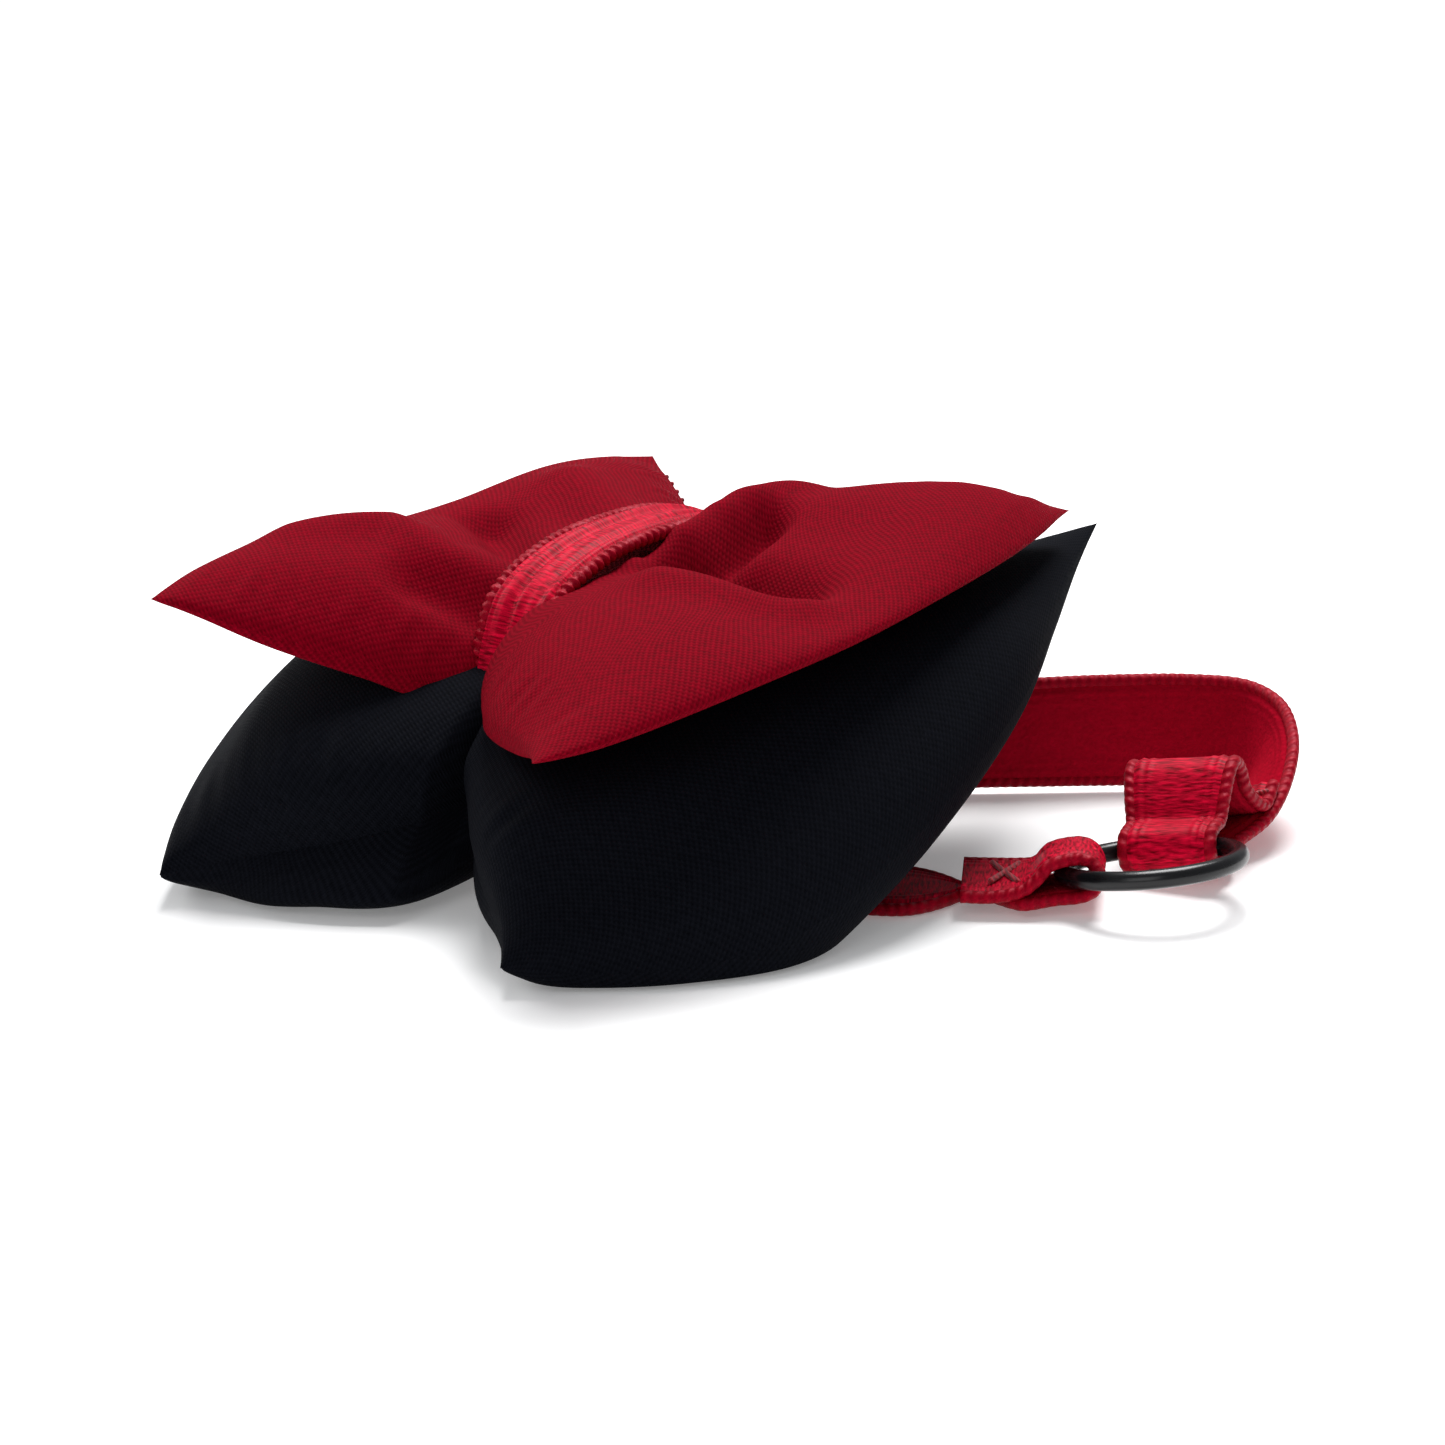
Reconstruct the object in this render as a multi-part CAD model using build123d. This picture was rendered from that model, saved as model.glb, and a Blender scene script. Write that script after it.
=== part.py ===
from build123d import *

# Wrist pin cushion: a stuffed black bow-shaped cushion with a padded red bow on top, both cinched by one band of
# satin elastic, on a wrist loop of the same elastic that closes through a small round ring.
#
# Millimetres. Z is up and the cushion stands on z = 0 as it lies on a table: its front corners (-Y) are down and
# its back corners (+Y) are propped up. X runs along the bow, from lobe to lobe, with 0 at the cinched neck. The
# wrist loop lies beside it, fallen towards +X. Everything is moved at the end so that the origin is the middle of
# the footprint.

import math
import os

# ---- driving dimensions -------------------------------------------------------------------------------------
COVER_T = 0.7            # woven suiting with its seam allowance
ELASTIC_W = 12.0         # width of the wrist elastic
ELASTIC_T = 1.2          # its thickness
ELASTIC_TIGHT_W = 10.0   # its width where it is bunched in the ring
SEWN_W = 9.0             # its width where it is gathered and sewn under the band
BAND_W = 9.0             # the cinch band is gathered a little narrower too
BAND_T = 1.0
THREAD_R = 0.28          # radius of a doubled sewing thread
RING_WIRE_R = 0.95       # round ring of coated wire
RING_R = 8.55            # to the middle of the wire, so the inside measures 15.2
RING_PLAY = 0.35         # between the wire and the elastic round it

# ---- stuffed shapes -----------------------------------------------------------------------------------------
# A station is one cross-section, given for the right lobe at x from the neck's middle:
# (x, front point, top points front to back, back point, bottom points back to front), each point (y, z).
# The front and back points are the side seams. The left lobe uses the same x mirrored.

NECK = (5.0, (-18.4, 9.4), [(-17.0, 17.0), (-6.0, 23.4), (9.0, 24.2)], (17.8, 19.5),
        [(12.0, 12.6), (0.0, 9.0), (-12.0, 6.5)])

RIGHT_LOBE = [
    NECK,
    (12.5, (-29.0, 5.8), [(-26.0, 18.0), (-8.0, 25.0), (14.0, 26.2)], (33.0, 23.8),
     [(20.0, 10.4), (-2.0, 4.8), (-18.0, 2.4)]),
    (20.5, (-41.5, 3.7), [(-36.0, 17.4), (-12.0, 25.0), (16.0, 27.0)], (47.8, 27.8),
     [(27.0, 12.2), (2.0, 4.2), (-20.0, -0.1)]),
    (29.0, (-35.0, 4.6), [(-30.5, 16.6), (-10.0, 23.6), (15.0, 26.2)], (37.0, 24.9),
     [(22.0, 11.6), (3.0, 5.0), (-19.0, -0.1)]),
    (35.5, (-24.0, 6.6), [(-20.5, 14.6), (-6.0, 19.8), (10.0, 22.6)], (23.0, 21.2),
     [(14.0, 12.6), (-1.0, 6.4), (-14.0, 1.8)]),
    (38.2, (-14.0, 9.4), [(-11.5, 13.6), (-3.0, 17.6), (6.0, 19.8)], (14.0, 18.6),
     [(8.5, 13.8), (-1.0, 9.4), (-9.0, 6.6)]),
    (39.0, (-9.5, 11.4), [(-7.5, 13.6), (-2.0, 16.0), (4.5, 17.8)], (9.5, 17.4),
     [(5.5, 14.4), (-1.0, 11.8), (-6.5, 9.6)]),
]

LEFT_LOBE = [
    NECK,
    (12.5, (-29.0, 5.8), [(-26.0, 18.0), (-8.0, 25.0), (14.0, 26.2)], (33.0, 23.8),
     [(20.0, 9.6), (-2.0, 2.6), (-18.0, 0.6)]),
    (20.5, (-41.5, 3.7), [(-36.0, 17.4), (-12.0, 25.0), (16.0, 27.0)], (47.8, 27.8),
     [(27.0, 10.4), (4.0, 0.6), (-20.0, 0.3)]),
    (29.0, (-35.0, 4.6), [(-30.5, 16.6), (-10.0, 23.6), (15.0, 26.2)], (37.0, 24.9),
     [(22.0, 10.4), (3.0, 1.0), (-19.0, 0.4)]),
    *RIGHT_LOBE[4:],
]

BOW_NECK = (5.0, (-16.4, 20.6), [(-15.0, 27.2), (-8.0, 31.0), (6.0, 31.9)], (16.4, 25.8),
            [(9.0, 25.4), (-3.0, 24.9), (-11.0, 23.4)])


def bow_lobe(corner_z):
    """The bow's stations on one side. corner_z is the height of its front corner."""
    inner_z = 0.5 * (corner_z + 23.6)
    return [
        BOW_NECK,
        (14.0, (-28.5, inner_z), [(-22.0, 29.0), (-8.0, 32.0), (12.0, 34.0)], (27.5, 30.2),
         [(15.0, 28.6), (-5.0, 27.8), (-20.0, 0.5 * (corner_z + 23.6))]),
        (24.5, (-41.0, corner_z), [(-30.0, 0.5 * (corner_z + 30.0)), (-8.0, 31.0), (14.0, 34.2)], (40.0, 31.6),
         [(18.0, 29.0), (-6.0, 27.4), (-26.0, 0.5 * (corner_z + 22.8))]),
        (30.5, (-25.0, 0.5 * (corner_z + 27.5)), [(-17.0, 28.6), (-5.0, 29.8), (10.0, 31.4)], (26.0, 30.4),
         [(12.0, 28.0), (-4.0, 26.6), (-15.0, 25.4)]),
        (33.6, (-8.0, 26.9), [(-5.0, 28.6), (0.0, 29.2), (4.5, 29.4)], (8.5, 28.0),
         [(5.0, 26.9), (0.0, 26.2), (-4.5, 25.7)]),
    ]


BOW_LEFT = bow_lobe(29.4)
BOW_RIGHT = bow_lobe(23.6)         # this corner droops


def toward(p, q):
    """The unit step from one section point to another."""
    far = math.hypot(q[0] - p[0], q[1] - p[1])
    return ((q[0] - p[0]) / far, (q[1] - p[1]) / far)


def inset_flat(station, by):
    """A wide, thin section moved inwards: square to its outline, and further at its two sharp corners."""
    x, front, top, back, bottom = station
    points = [front, *top, back, *bottom]

    def inward(i):
        p, before, after = points[i], points[i - 1], points[(i + 1) % len(points)]
        if p in (front, back):
            a, b = toward(p, before), toward(p, after)
            run = toward((0, 0), (a[0] + b[0], a[1] + b[1]))
            return (p[0] + run[0] * by * 3, p[1] + run[1] * by * 3)
        run = toward(before, after)
        return (p[0] + run[1] * by, p[1] - run[0] * by)

    moved = [inward(i) for i in range(len(points))]
    n = len(top)
    return (x, moved[0], moved[1:n + 1], moved[n + 1], moved[n + 2:])


def inset(station, by):
    """The same section moved inwards by a cover's thickness, for what fills it."""
    if station in BOW_LEFT or station in BOW_RIGHT:
        return inset_flat(station, by)
    x, front, top, back, bottom = station
    points = [front, *top, back, *bottom]
    cy = sum(p[0] for p in points) / len(points)
    cz = sum(p[1] for p in points) / len(points)

    def inward(p):
        dy, dz = cy - p[0], cz - p[1]
        far = math.hypot(dy, dz)
        return (p[0] + dy / far * by, p[1] + dz / far * by)

    return (x, inward(front), [inward(p) for p in top], inward(back), [inward(p) for p in bottom])


def spline_at(x, points):
    return Spline(*[(x, y, z) for y, z in points])


def filling_section(x, station):
    """The face of what fills one station."""
    _, front, top, back, bottom = inset(station, COVER_T)
    return make_face([spline_at(x, [front, *top, back]), spline_at(x, [back, *bottom, front])])


def panel_section(x, station, side):
    """The face of the top or bottom panel at one station: a thin strip from side seam to side seam."""
    outer, inner = station, inset(station, COVER_T)
    if side == "top":
        out_points, in_points = [outer[1], *outer[2], outer[3]], [inner[1], *inner[2], inner[3]]
    else:
        out_points, in_points = [outer[1], *outer[4][::-1], outer[3]], [inner[1], *inner[4][::-1], inner[3]]
    front = Line((x, *out_points[0]), (x, *in_points[0]))
    back = Line((x, *in_points[-1]), (x, *out_points[-1]))
    return make_face([spline_at(x, out_points), back, spline_at(x, in_points[::-1]), front])


def through(left, right, face_at):
    """A solid through the left lobe's stations, the neck and the right lobe's stations."""
    faces = [face_at(-s[0], s) for s in reversed(left)] + [face_at(s[0], s) for s in right]
    return loft(faces, ruled=True)


# ---- elastic and thread -------------------------------------------------------------------------------------
def ribbon(edges, thickness=ELASTIC_T):
    """A flat strip between two edges. edges is a list of (a, b), the two ends of the strip's width in turn."""
    middle = [(a + b) * 0.5 for a, b in edges]
    faces = []
    for i, (a, b) in enumerate(edges):
        along = middle[min(i + 1, len(middle) - 1)] - middle[max(i - 1, 0)]
        off = (b - a).cross(along).normalized() * (thickness / 2)
        faces.append(make_face(Polyline(a - off, b - off, b + off, a + off, close=True)))
    return loft(faces, ruled=True)


def lifted(edges, i, by):
    """One pair of edges moved off the strip's face, to lay a second layer on it."""
    before, after = edges[max(i - 1, 0)], edges[min(i + 1, len(edges) - 1)]
    along = (after[0] + after[1] - before[0] - before[1]) * 0.5
    a, b = edges[i]
    off = (b - a).cross(along).normalized() * by
    return (a + off, b + off)


def blend_pair(p, q, t):
    """The pair of edges a part t of the way from p to q."""
    return (p[0] * (1 - t) + q[0] * t, p[1] * (1 - t) + q[1] * t)


def thread(a, b):
    """One straight stitch, a short rod with round ends."""
    along = b - a
    rod = Plane(origin=a, z_dir=along) * Cylinder(THREAD_R, along.length, align=(Align.CENTER, Align.CENTER, Align.MIN))
    return rod + Pos(*a) * Sphere(THREAD_R) + Pos(*b) * Sphere(THREAD_R)


# ---- cushion ------------------------------------------------------------------------------------------------
above_table = Pos(0, 0, 50) * Box(200, 200, 100)
filling = through(LEFT_LOBE, RIGHT_LOBE, filling_section) & above_table
cushion_top = through(LEFT_LOBE, RIGHT_LOBE, lambda x, s: panel_section(x, s, "top"))
cushion_bottom = through(LEFT_LOBE, RIGHT_LOBE, lambda x, s: panel_section(x, s, "bottom")) & above_table

# The gap it was turned and stuffed through, closed by hand along the left lobe's back seam.
back_seam = Spline(*[(-s[0], s[3][0], s[3][1]) for s in LEFT_LOBE[:3]])
closing = []
for i in range(8):
    p = back_seam @ (0.30 + 0.075 * i)
    closing.append(thread(p + Vector(0.25, -0.5, 1.3), p + Vector(-0.25, -0.9, -1.3)))

# ---- bow ----------------------------------------------------------------------------------------------------
wadding = through(BOW_LEFT, BOW_RIGHT, filling_section)
bow_top = through(BOW_LEFT, BOW_RIGHT, lambda x, s: panel_section(x, s, "top"))
bow_bottom = through(BOW_LEFT, BOW_RIGHT, lambda x, s: panel_section(x, s, "bottom"))

bow_back_seam = Spline(*[(-s[0], s[3][0], s[3][1]) for s in BOW_LEFT[:3]])
bow_closing = []
for i in range(6):
    p = bow_back_seam @ (0.40 + 0.08 * i)
    bow_closing.append(thread(p + Vector(0.25, -0.5, 0.9), p + Vector(-0.25, -0.7, -0.9)))

# ---- cinch band ---------------------------------------------------------------------------------------------
BAND_INSIDE = [(-19.0, 12.0), (-18.4, 18.5), (-17.2, 24.0), (-14.8, 28.6), (-8.0, 31.7), (0.0, 32.7), (8.0, 32.4),
               (14.6, 30.0), (17.6, 26.0), (18.7, 20.0), (17.0, 15.2), (12.0, 11.7), (0.0, 8.1), (-12.0, 5.6),
               (-17.4, 7.0)]
inside = Spline(*[(0, y, z) for y, z in BAND_INSIDE], periodic=True)
inner_face = make_face(inside)
band_inner = extrude(inner_face, BAND_W / 2, dir=(1, 0, 0), both=True)


def grown(points, by):
    """The closed outline moved outwards by a distance, point by point."""
    out = []
    for i, (y, z) in enumerate(points):
        (y0, z0), (y1, z1) = points[i - 1], points[(i + 1) % len(points)]
        ty, tz = y1 - y0, z1 - z0
        far = math.hypot(ty, tz)
        out.append((y - tz / far * by, z + ty / far * by))
    return out


outside = Spline(*[(0, y, z) for y, z in grown(BAND_INSIDE, BAND_T)], periodic=True)
band_outer = extrude(make_face(outside), BAND_W / 2, dir=(1, 0, 0), both=True)
cinch_band = band_outer - band_inner

# Its ends overlap under the neck, where the two strap ends cover the join.
band_join = []
for i in range(4):
    x = -3.3 + 2.2 * i
    band_join.append(thread(Vector(x, -1.5, 6.75), Vector(x, 0.9, 7.35)))

# ---- the ring -----------------------------------------------------------------------------------------------
RING_CENTRE = Vector(49.7, 19.5, 4.0)
RING_U = Vector(0.80, 0.59, 0.12).normalized()           # across the ring, away from the cushion
RING_V = Vector(-0.63, 0.75, -0.13)                       # to the back, dipping a little
RING_V = (RING_V - RING_U * RING_V.dot(RING_U)).normalized()
RING_AXIS = RING_U.cross(RING_V).normalized()             # the ring's own axis, nearly upright
FOLD_R = RING_WIRE_R + RING_PLAY + ELASTIC_T / 2          # middle of the elastic that goes round the wire
FOLD_OUT = math.sqrt(RING_R ** 2 - (ELASTIC_TIGHT_W / 2) ** 2)   # where the bunched elastic's edges meet the wire

strap_ring = Plane(origin=RING_CENTRE, z_dir=RING_AXIS, x_dir=RING_U) * Torus(RING_R, RING_WIRE_R)


def at_ring(angle, out, up, half=ELASTIC_TIGHT_W / 2, floor=None):
    """A pair of edges at a fold round the ring. angle is the fold's place round the ring from RING_U, out its
    distance from the ring's centre and up its height above the ring's plane. A floor keeps it off the table."""
    radial = RING_U * math.cos(math.radians(angle)) + RING_V * math.sin(math.radians(angle))
    side = RING_U * math.sin(math.radians(angle)) - RING_V * math.cos(math.radians(angle))
    middle = RING_CENTRE + radial * out + RING_AXIS * up
    pair = [middle - side * half, middle + side * half]
    if floor is not None:
        pair = [Vector(p.X, p.Y, max(p.Z, floor)) for p in pair]
    return tuple(pair)


def round_wire(angle):
    """The pairs of edges where the elastic turns back round the wire, from under it to over it."""
    pairs = []
    for i in range(7):
        turn = math.radians(-90 + 30 * i)
        pairs.append(at_ring(angle, FOLD_OUT - FOLD_R * math.cos(turn), FOLD_R * math.sin(turn)))
    return pairs


# ---- the short strap, from the front of the neck to the ring ------------------------------------------------
# It is sewn flat under the band, runs forwards, is folded over on a slant and then lies flat on the table.
FOLD_POINT = Vector(0, -16.6, 0)
FOLD_LINE = Vector(0.888, -0.460, 0)
FOLD_AWAY = Vector(-0.460, -0.888, 0)
RUN = Vector(0.812, 0.583, 0)
RUN_SIDE = Vector(0.583, -0.812, 0)
LOW_Z = ELASTIC_T / 2 + 0.02
UPPER_Z = 2.9
roll_r = (UPPER_Z - LOW_Z) / 2

sewn_front = [
    (Vector(-SEWN_W / 2, -3.2, 5.35), Vector(SEWN_W / 2, -3.2, 5.35)),
    (Vector(-SEWN_W / 2, -8.0, 4.32), Vector(SEWN_W / 2, -8.0, 4.32)),
    (Vector(-SEWN_W / 2 - 0.3, -11.0, 3.65), Vector(SEWN_W / 2 + 0.3, -12.0, 3.45)),
    (Vector(-5.6, -12.3, 3.25), Vector(5.5, -15.4, 3.1)),
]
for i in range(7):
    turn = math.radians(30 * i)
    middle = FOLD_POINT + FOLD_AWAY * (roll_r * math.sin(turn)) + Vector(0, 0, LOW_Z + roll_r * (1 + math.cos(turn)))
    sewn_front.append((middle - FOLD_LINE * 6.7, middle + FOLD_LINE * 6.7))
half_skew = (FOLD_LINE * 6.7 + RUN_SIDE * 6.0) * 0.5
middle = FOLD_POINT + RUN * 4.5 + Vector(0, 0, LOW_Z)
sewn_front.append((middle - half_skew, middle + half_skew))
start = FOLD_POINT + RUN * 9.0 + Vector(0, 0, LOW_Z)
sewn_front.append((start - RUN_SIDE * 6, start + RUN_SIDE * 6))
ring_strap_sewn_end = ribbon(sewn_front)

short_run = [(start - RUN_SIDE * 6, start + RUN_SIDE * 6)]
for far in (20.0, 32.0, 41.0):
    middle = FOLD_POINT + RUN * far + Vector(0, 0, LOW_Z)
    short_run.append((middle - RUN_SIDE * 6, middle + RUN_SIDE * 6))
lower_layer = [at_ring(180, 18.6, -FOLD_R, 6.0, LOW_Z), at_ring(180, 14.0, -FOLD_R, 6.0, LOW_Z)]
short_run += [at_ring(180, 13.0, -FOLD_R, 5.8, LOW_Z), at_ring(180, 9.2, -FOLD_R, 5.1, LOW_Z)]
short_run += round_wire(180)
short_run += [
    at_ring(180, 8.55, FOLD_R),
    at_ring(180, 9.9, FOLD_R - 0.45, 5.2),
    at_ring(180, 11.0, FOLD_R - 1.5, 5.6),
    at_ring(180, 12.3, -0.75, 5.8, LOW_Z + ELASTIC_T + 0.12),
    at_ring(180, 13.4, -FOLD_R, 5.9, LOW_Z + ELASTIC_T + 0.12),
    at_ring(180, 18.6, -FOLD_R, 5.9, LOW_Z + ELASTIC_T + 0.12),
]
ring_strap = ribbon(short_run)

# ---- the long strap, from the back of the neck round to the ring --------------------------------------------
# It leaves the band flat, twists to stand on its edge, rolls over at the far turn and comes back to the ring.
sewn_back = [
    (Vector(-SEWN_W / 2, 3.0, 6.95), Vector(SEWN_W / 2, 3.0, 6.95)),
    (Vector(-SEWN_W / 2, 11.6, 9.45), Vector(SEWN_W / 2, 11.6, 9.45)),
    (Vector(-SEWN_W / 2 - 0.3, 18.5, 11.72), Vector(SEWN_W / 2 + 0.3, 18.5, 11.72)),
]
wrist_strap_sewn_end = ribbon(sewn_back)

long_run = [
    (Vector(-4.8, 18.75, 11.8), Vector(4.8, 18.75, 11.8)),
    (Vector(-4.6, 21.2, 10.4), Vector(5.0, 21.0, 13.4)),
    (Vector(-2.8, 24.8, 6.4), Vector(6.0, 24.6, 13.7)),
    (Vector(1.0, 28.3, 2.9), Vector(8.2, 28.3, 12.5)),
    (Vector(6.2, 31.4, 0.8), Vector(11.2, 32.4, 11.7)),
    (Vector(12.6, 35.8, 0.35), Vector(15.3, 37.6, 12.0)),
    (Vector(18.6, 41.2, 0.2), Vector(19.6, 42.2, 12.1)),
    (Vector(24.3, 46.6, 0.2), Vector(25.0, 47.9, 12.2)),
    (Vector(30.0, 51.6, 0.3), Vector(30.8, 53.5, 12.2)),
    (Vector(34.8, 53.4, 0.3), Vector(36.0, 56.3, 11.9)),
    (Vector(38.6, 51.6, 0.3), Vector(41.4, 54.6, 11.2)),
    (Vector(40.2, 47.4, 0.4), Vector(46.0, 50.3, 9.1)),
    (Vector(40.0, 42.2, 0.6), Vector(48.9, 45.0, 6.2)),
    (Vector(39.4, 37.2, 0.7), Vector(50.0, 40.2, 3.7)),
    (Vector(39.2, 30.9, 0.68), Vector(49.9, 34.4, 2.2)),
]
back_fold = 72.0                   # where on the ring this strap's fold sits, in degrees from RING_U
tail_end = [lifted(long_run, 13, -(ELASTIC_T + 0.15)), lifted(long_run, 12, -(ELASTIC_T + 0.15))]
long_run.append(at_ring(back_fold, 10.6, -FOLD_R, 5.2, LOW_Z))
long_run += round_wire(back_fold)
long_run += [
    at_ring(back_fold, 8.55, FOLD_R),
    at_ring(back_fold, 9.7, FOLD_R + 1.1, 5.3),
    at_ring(back_fold, 10.9, FOLD_R + 3.6, 5.6),
    at_ring(back_fold, 12.4, FOLD_R + 5.2, 5.8),
    at_ring(back_fold, 14.2, FOLD_R + 5.2, 5.8),
    at_ring(back_fold, 15.6, FOLD_R + 3.8, 5.8),
    at_ring(back_fold, 16.6, FOLD_R + 1.8, 5.8),
]
long_run += [tail_end[0], blend_pair(tail_end[0], tail_end[1], 0.62)]
wrist_strap = ribbon(long_run)

# ---- the stitches that hold the straps ----------------------------------------------------------------------
anchors = []
for x in (-2.6, 0.0, 2.6):
    anchors.append(thread(Vector(x - 1.0, -8.4, 5.6), Vector(x + 1.0, -6.6, 4.3)))
    anchors.append(thread(Vector(x - 1.0, 7.4, 9.3), Vector(x + 1.0, 9.2, 8.4)))

centre_low = RING_CENTRE - RING_U * 14.2
tack_z = LOW_Z + ELASTIC_T * 1.5 + 0.15
ring_tack = []
for side in (-1, 1):
    a = centre_low - RING_V * 3.4 - RING_U * 1.3 * side
    b = centre_low + RING_V * 3.4 + RING_U * 1.3 * side
    ring_tack.append(thread(Vector(a.X, a.Y, tack_z + 0.35), Vector(b.X, b.Y, tack_z)))

wrist_tack = []
top_a, top_b = blend_pair(tail_end[0], tail_end[1], 0.30)
for i in range(4):
    p = top_a * (0.85 - 0.23 * i) + top_b * (0.15 + 0.23 * i) + Vector(0, 0, 0.55)
    q = top_a * (0.76 - 0.23 * i) + top_b * (0.24 + 0.23 * i) + Vector(0, 0, 0.55)
    wrist_tack.append(thread(p, q))

# ---- all nodes, moved so that the origin is the middle of the footprint -------------------------------------
nodes = {
    "cushion_top_panel": cushion_top,
    "cushion_bottom_panel": cushion_bottom,
    "cushion_filling": filling,
    "cushion_closing_stitches": closing,
    "bow_top_panel": bow_top,
    "bow_bottom_panel": bow_bottom,
    "bow_wadding": wadding,
    "bow_closing_stitches": bow_closing,
    "cinch_band": cinch_band,
    "cinch_band_join_stitches": band_join,
    "ring_strap_sewn_end": ring_strap_sewn_end,
    "ring_strap": ring_strap,
    "ring_strap_tack": ring_tack,
    "wrist_strap_sewn_end": wrist_strap_sewn_end,
    "wrist_strap": wrist_strap,
    "wrist_strap_tack": wrist_tack,
    "strap_anchor_stitches": anchors,
    "strap_ring": strap_ring,
}
solids = {name: Compound(shape if isinstance(shape, list) else shape.solids()) for name, shape in nodes.items()}
box = Compound(list(solids.values())).bounding_box()
to_origin = Pos(-(box.min.X + box.max.X) / 2, -(box.min.Y + box.max.Y) / 2, -box.min.Z)
os.makedirs("parts", exist_ok=True)
for name, shape in solids.items():
    export_step(shape.moved(to_origin), f"parts/{name}.step")

print("origin moved by", tuple(to_origin.position))
print("size", tuple(box.size))
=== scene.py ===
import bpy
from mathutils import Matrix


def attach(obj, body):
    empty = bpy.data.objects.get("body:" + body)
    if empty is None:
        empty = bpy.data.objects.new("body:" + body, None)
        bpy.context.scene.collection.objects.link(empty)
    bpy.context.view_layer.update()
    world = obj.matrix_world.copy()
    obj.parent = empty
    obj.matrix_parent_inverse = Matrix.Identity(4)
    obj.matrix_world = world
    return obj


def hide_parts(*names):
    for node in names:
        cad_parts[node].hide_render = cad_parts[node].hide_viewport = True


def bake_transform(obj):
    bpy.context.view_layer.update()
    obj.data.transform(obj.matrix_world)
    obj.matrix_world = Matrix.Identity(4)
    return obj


bl_info = {
    "name": "Wrist pin cushion",
    "version": (1, 0, 0),
    "blender": (4, 5, 0),
    "location": "View3D > Sidebar > Pin cushion",
    "description": "A stuffed bow pin cushion on an elastic wrist loop",
    "category": "Object",
}

import math

import bmesh
import bpy
import numpy as np
from mathutils import Vector

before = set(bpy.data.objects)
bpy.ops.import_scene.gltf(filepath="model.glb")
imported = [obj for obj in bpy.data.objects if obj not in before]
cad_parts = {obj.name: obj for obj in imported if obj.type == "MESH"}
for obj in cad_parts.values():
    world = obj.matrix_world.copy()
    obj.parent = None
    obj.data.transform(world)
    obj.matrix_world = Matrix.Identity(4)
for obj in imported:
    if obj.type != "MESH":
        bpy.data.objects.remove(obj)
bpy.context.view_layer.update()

MM = 0.001
WELD, SLIVER = 1e-7, 1e-8       # metres: points this close become one, and faces thinner than this are dissolved
# The shapes below are drawn in millimetres about the middle of the cinched neck, and this moves them to the row frame.
NECK_AT = np.array([-10.0385, -7.6909, 0.0])


# ---- sizes and colours a user would change ----
def colour_setting(label, about, default):
    return bpy.props.FloatVectorProperty(name=label, description=about, subtype="COLOR", size=3, default=default)


def length_setting(label, about, default):
    return bpy.props.FloatProperty(name=label, description=about + ", in metres", unit="LENGTH", default=default)


def angle_setting(label, about, degrees):
    return bpy.props.FloatProperty(name=label, description=about, subtype="ANGLE", default=math.radians(degrees))


class CushionSettings(bpy.types.PropertyGroup):
    cover_colour: colour_setting("Cushion cloth", "Colour of the lower cushion's suiting", (0.0040, 0.0044, 0.0064))
    twill_pitch: length_setting("Twill pitch", "Distance between the diagonal ribs of the weave", 0.00046)
    pucker: length_setting("Seam pucker", "Depth of the small gathers along the side seams", 0.00030)


class BowSettings(bpy.types.PropertyGroup):
    cover_colour: colour_setting("Bow cloth", "Colour of the bow's suiting", (0.160, 0.0006, 0.0066))
    pucker: length_setting("Seam pucker", "Depth of the small gathers along the side seams", 0.00028)


class ElasticSettings(bpy.types.PropertyGroup):
    satin_colour: colour_setting("Satin face", "Colour of the elastic's shiny outer face", (0.33, 0.0008, 0.0110))
    plush_colour: colour_setting("Plush face", "Colour of the elastic's soft inner face", (0.30, 0.0012, 0.0120))
    thickness: length_setting("Thickness", "Thickness of the elastic", 0.0011)
    edge_radius: length_setting("Edge cord", "Radius of the braided edge", 0.00068)
    picot_pitch: length_setting("Picot pitch", "Distance between the edge loops", 0.00092)


class RingSettings(bpy.types.PropertyGroup):
    coat_colour: colour_setting("Ring coating", "Colour of the ring's nylon coating", (0.0035, 0.0036, 0.0042))


class StageSettings(bpy.types.PropertyGroup):
    azimuth: angle_setting("Camera azimuth", "Angle of the camera round the object", 40.5)
    elevation: angle_setting("Camera elevation", "Angle of the camera above the table", 16.0)
    distance: length_setting("Camera distance", "From the camera to the middle of the view", 0.430)
    lens: bpy.props.FloatProperty(name="Lens", description="Focal length in mm on a 36 mm sensor", default=107.13)


# ---- shader maths ----
class Wire:
    """One socket of a material, so that sums of sockets are written as plain sums."""

    def __init__(self, paint, socket):
        self.paint, self.socket = paint, socket

    def _math(self, operation, other):
        return self.paint.node("ShaderNodeMath", {"operation": operation}, {0: self, 1: other})

    def __add__(self, other):
        return self._math("ADD", other)

    def __sub__(self, other):
        return self._math("SUBTRACT", other)

    def __mul__(self, other):
        return self._math("MULTIPLY", other)

    def sin(self):
        return self._math("SINE", 0.0)

    def clamp(self):
        return self.paint.node("ShaderNodeClamp", {}, {0: self})


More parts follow.
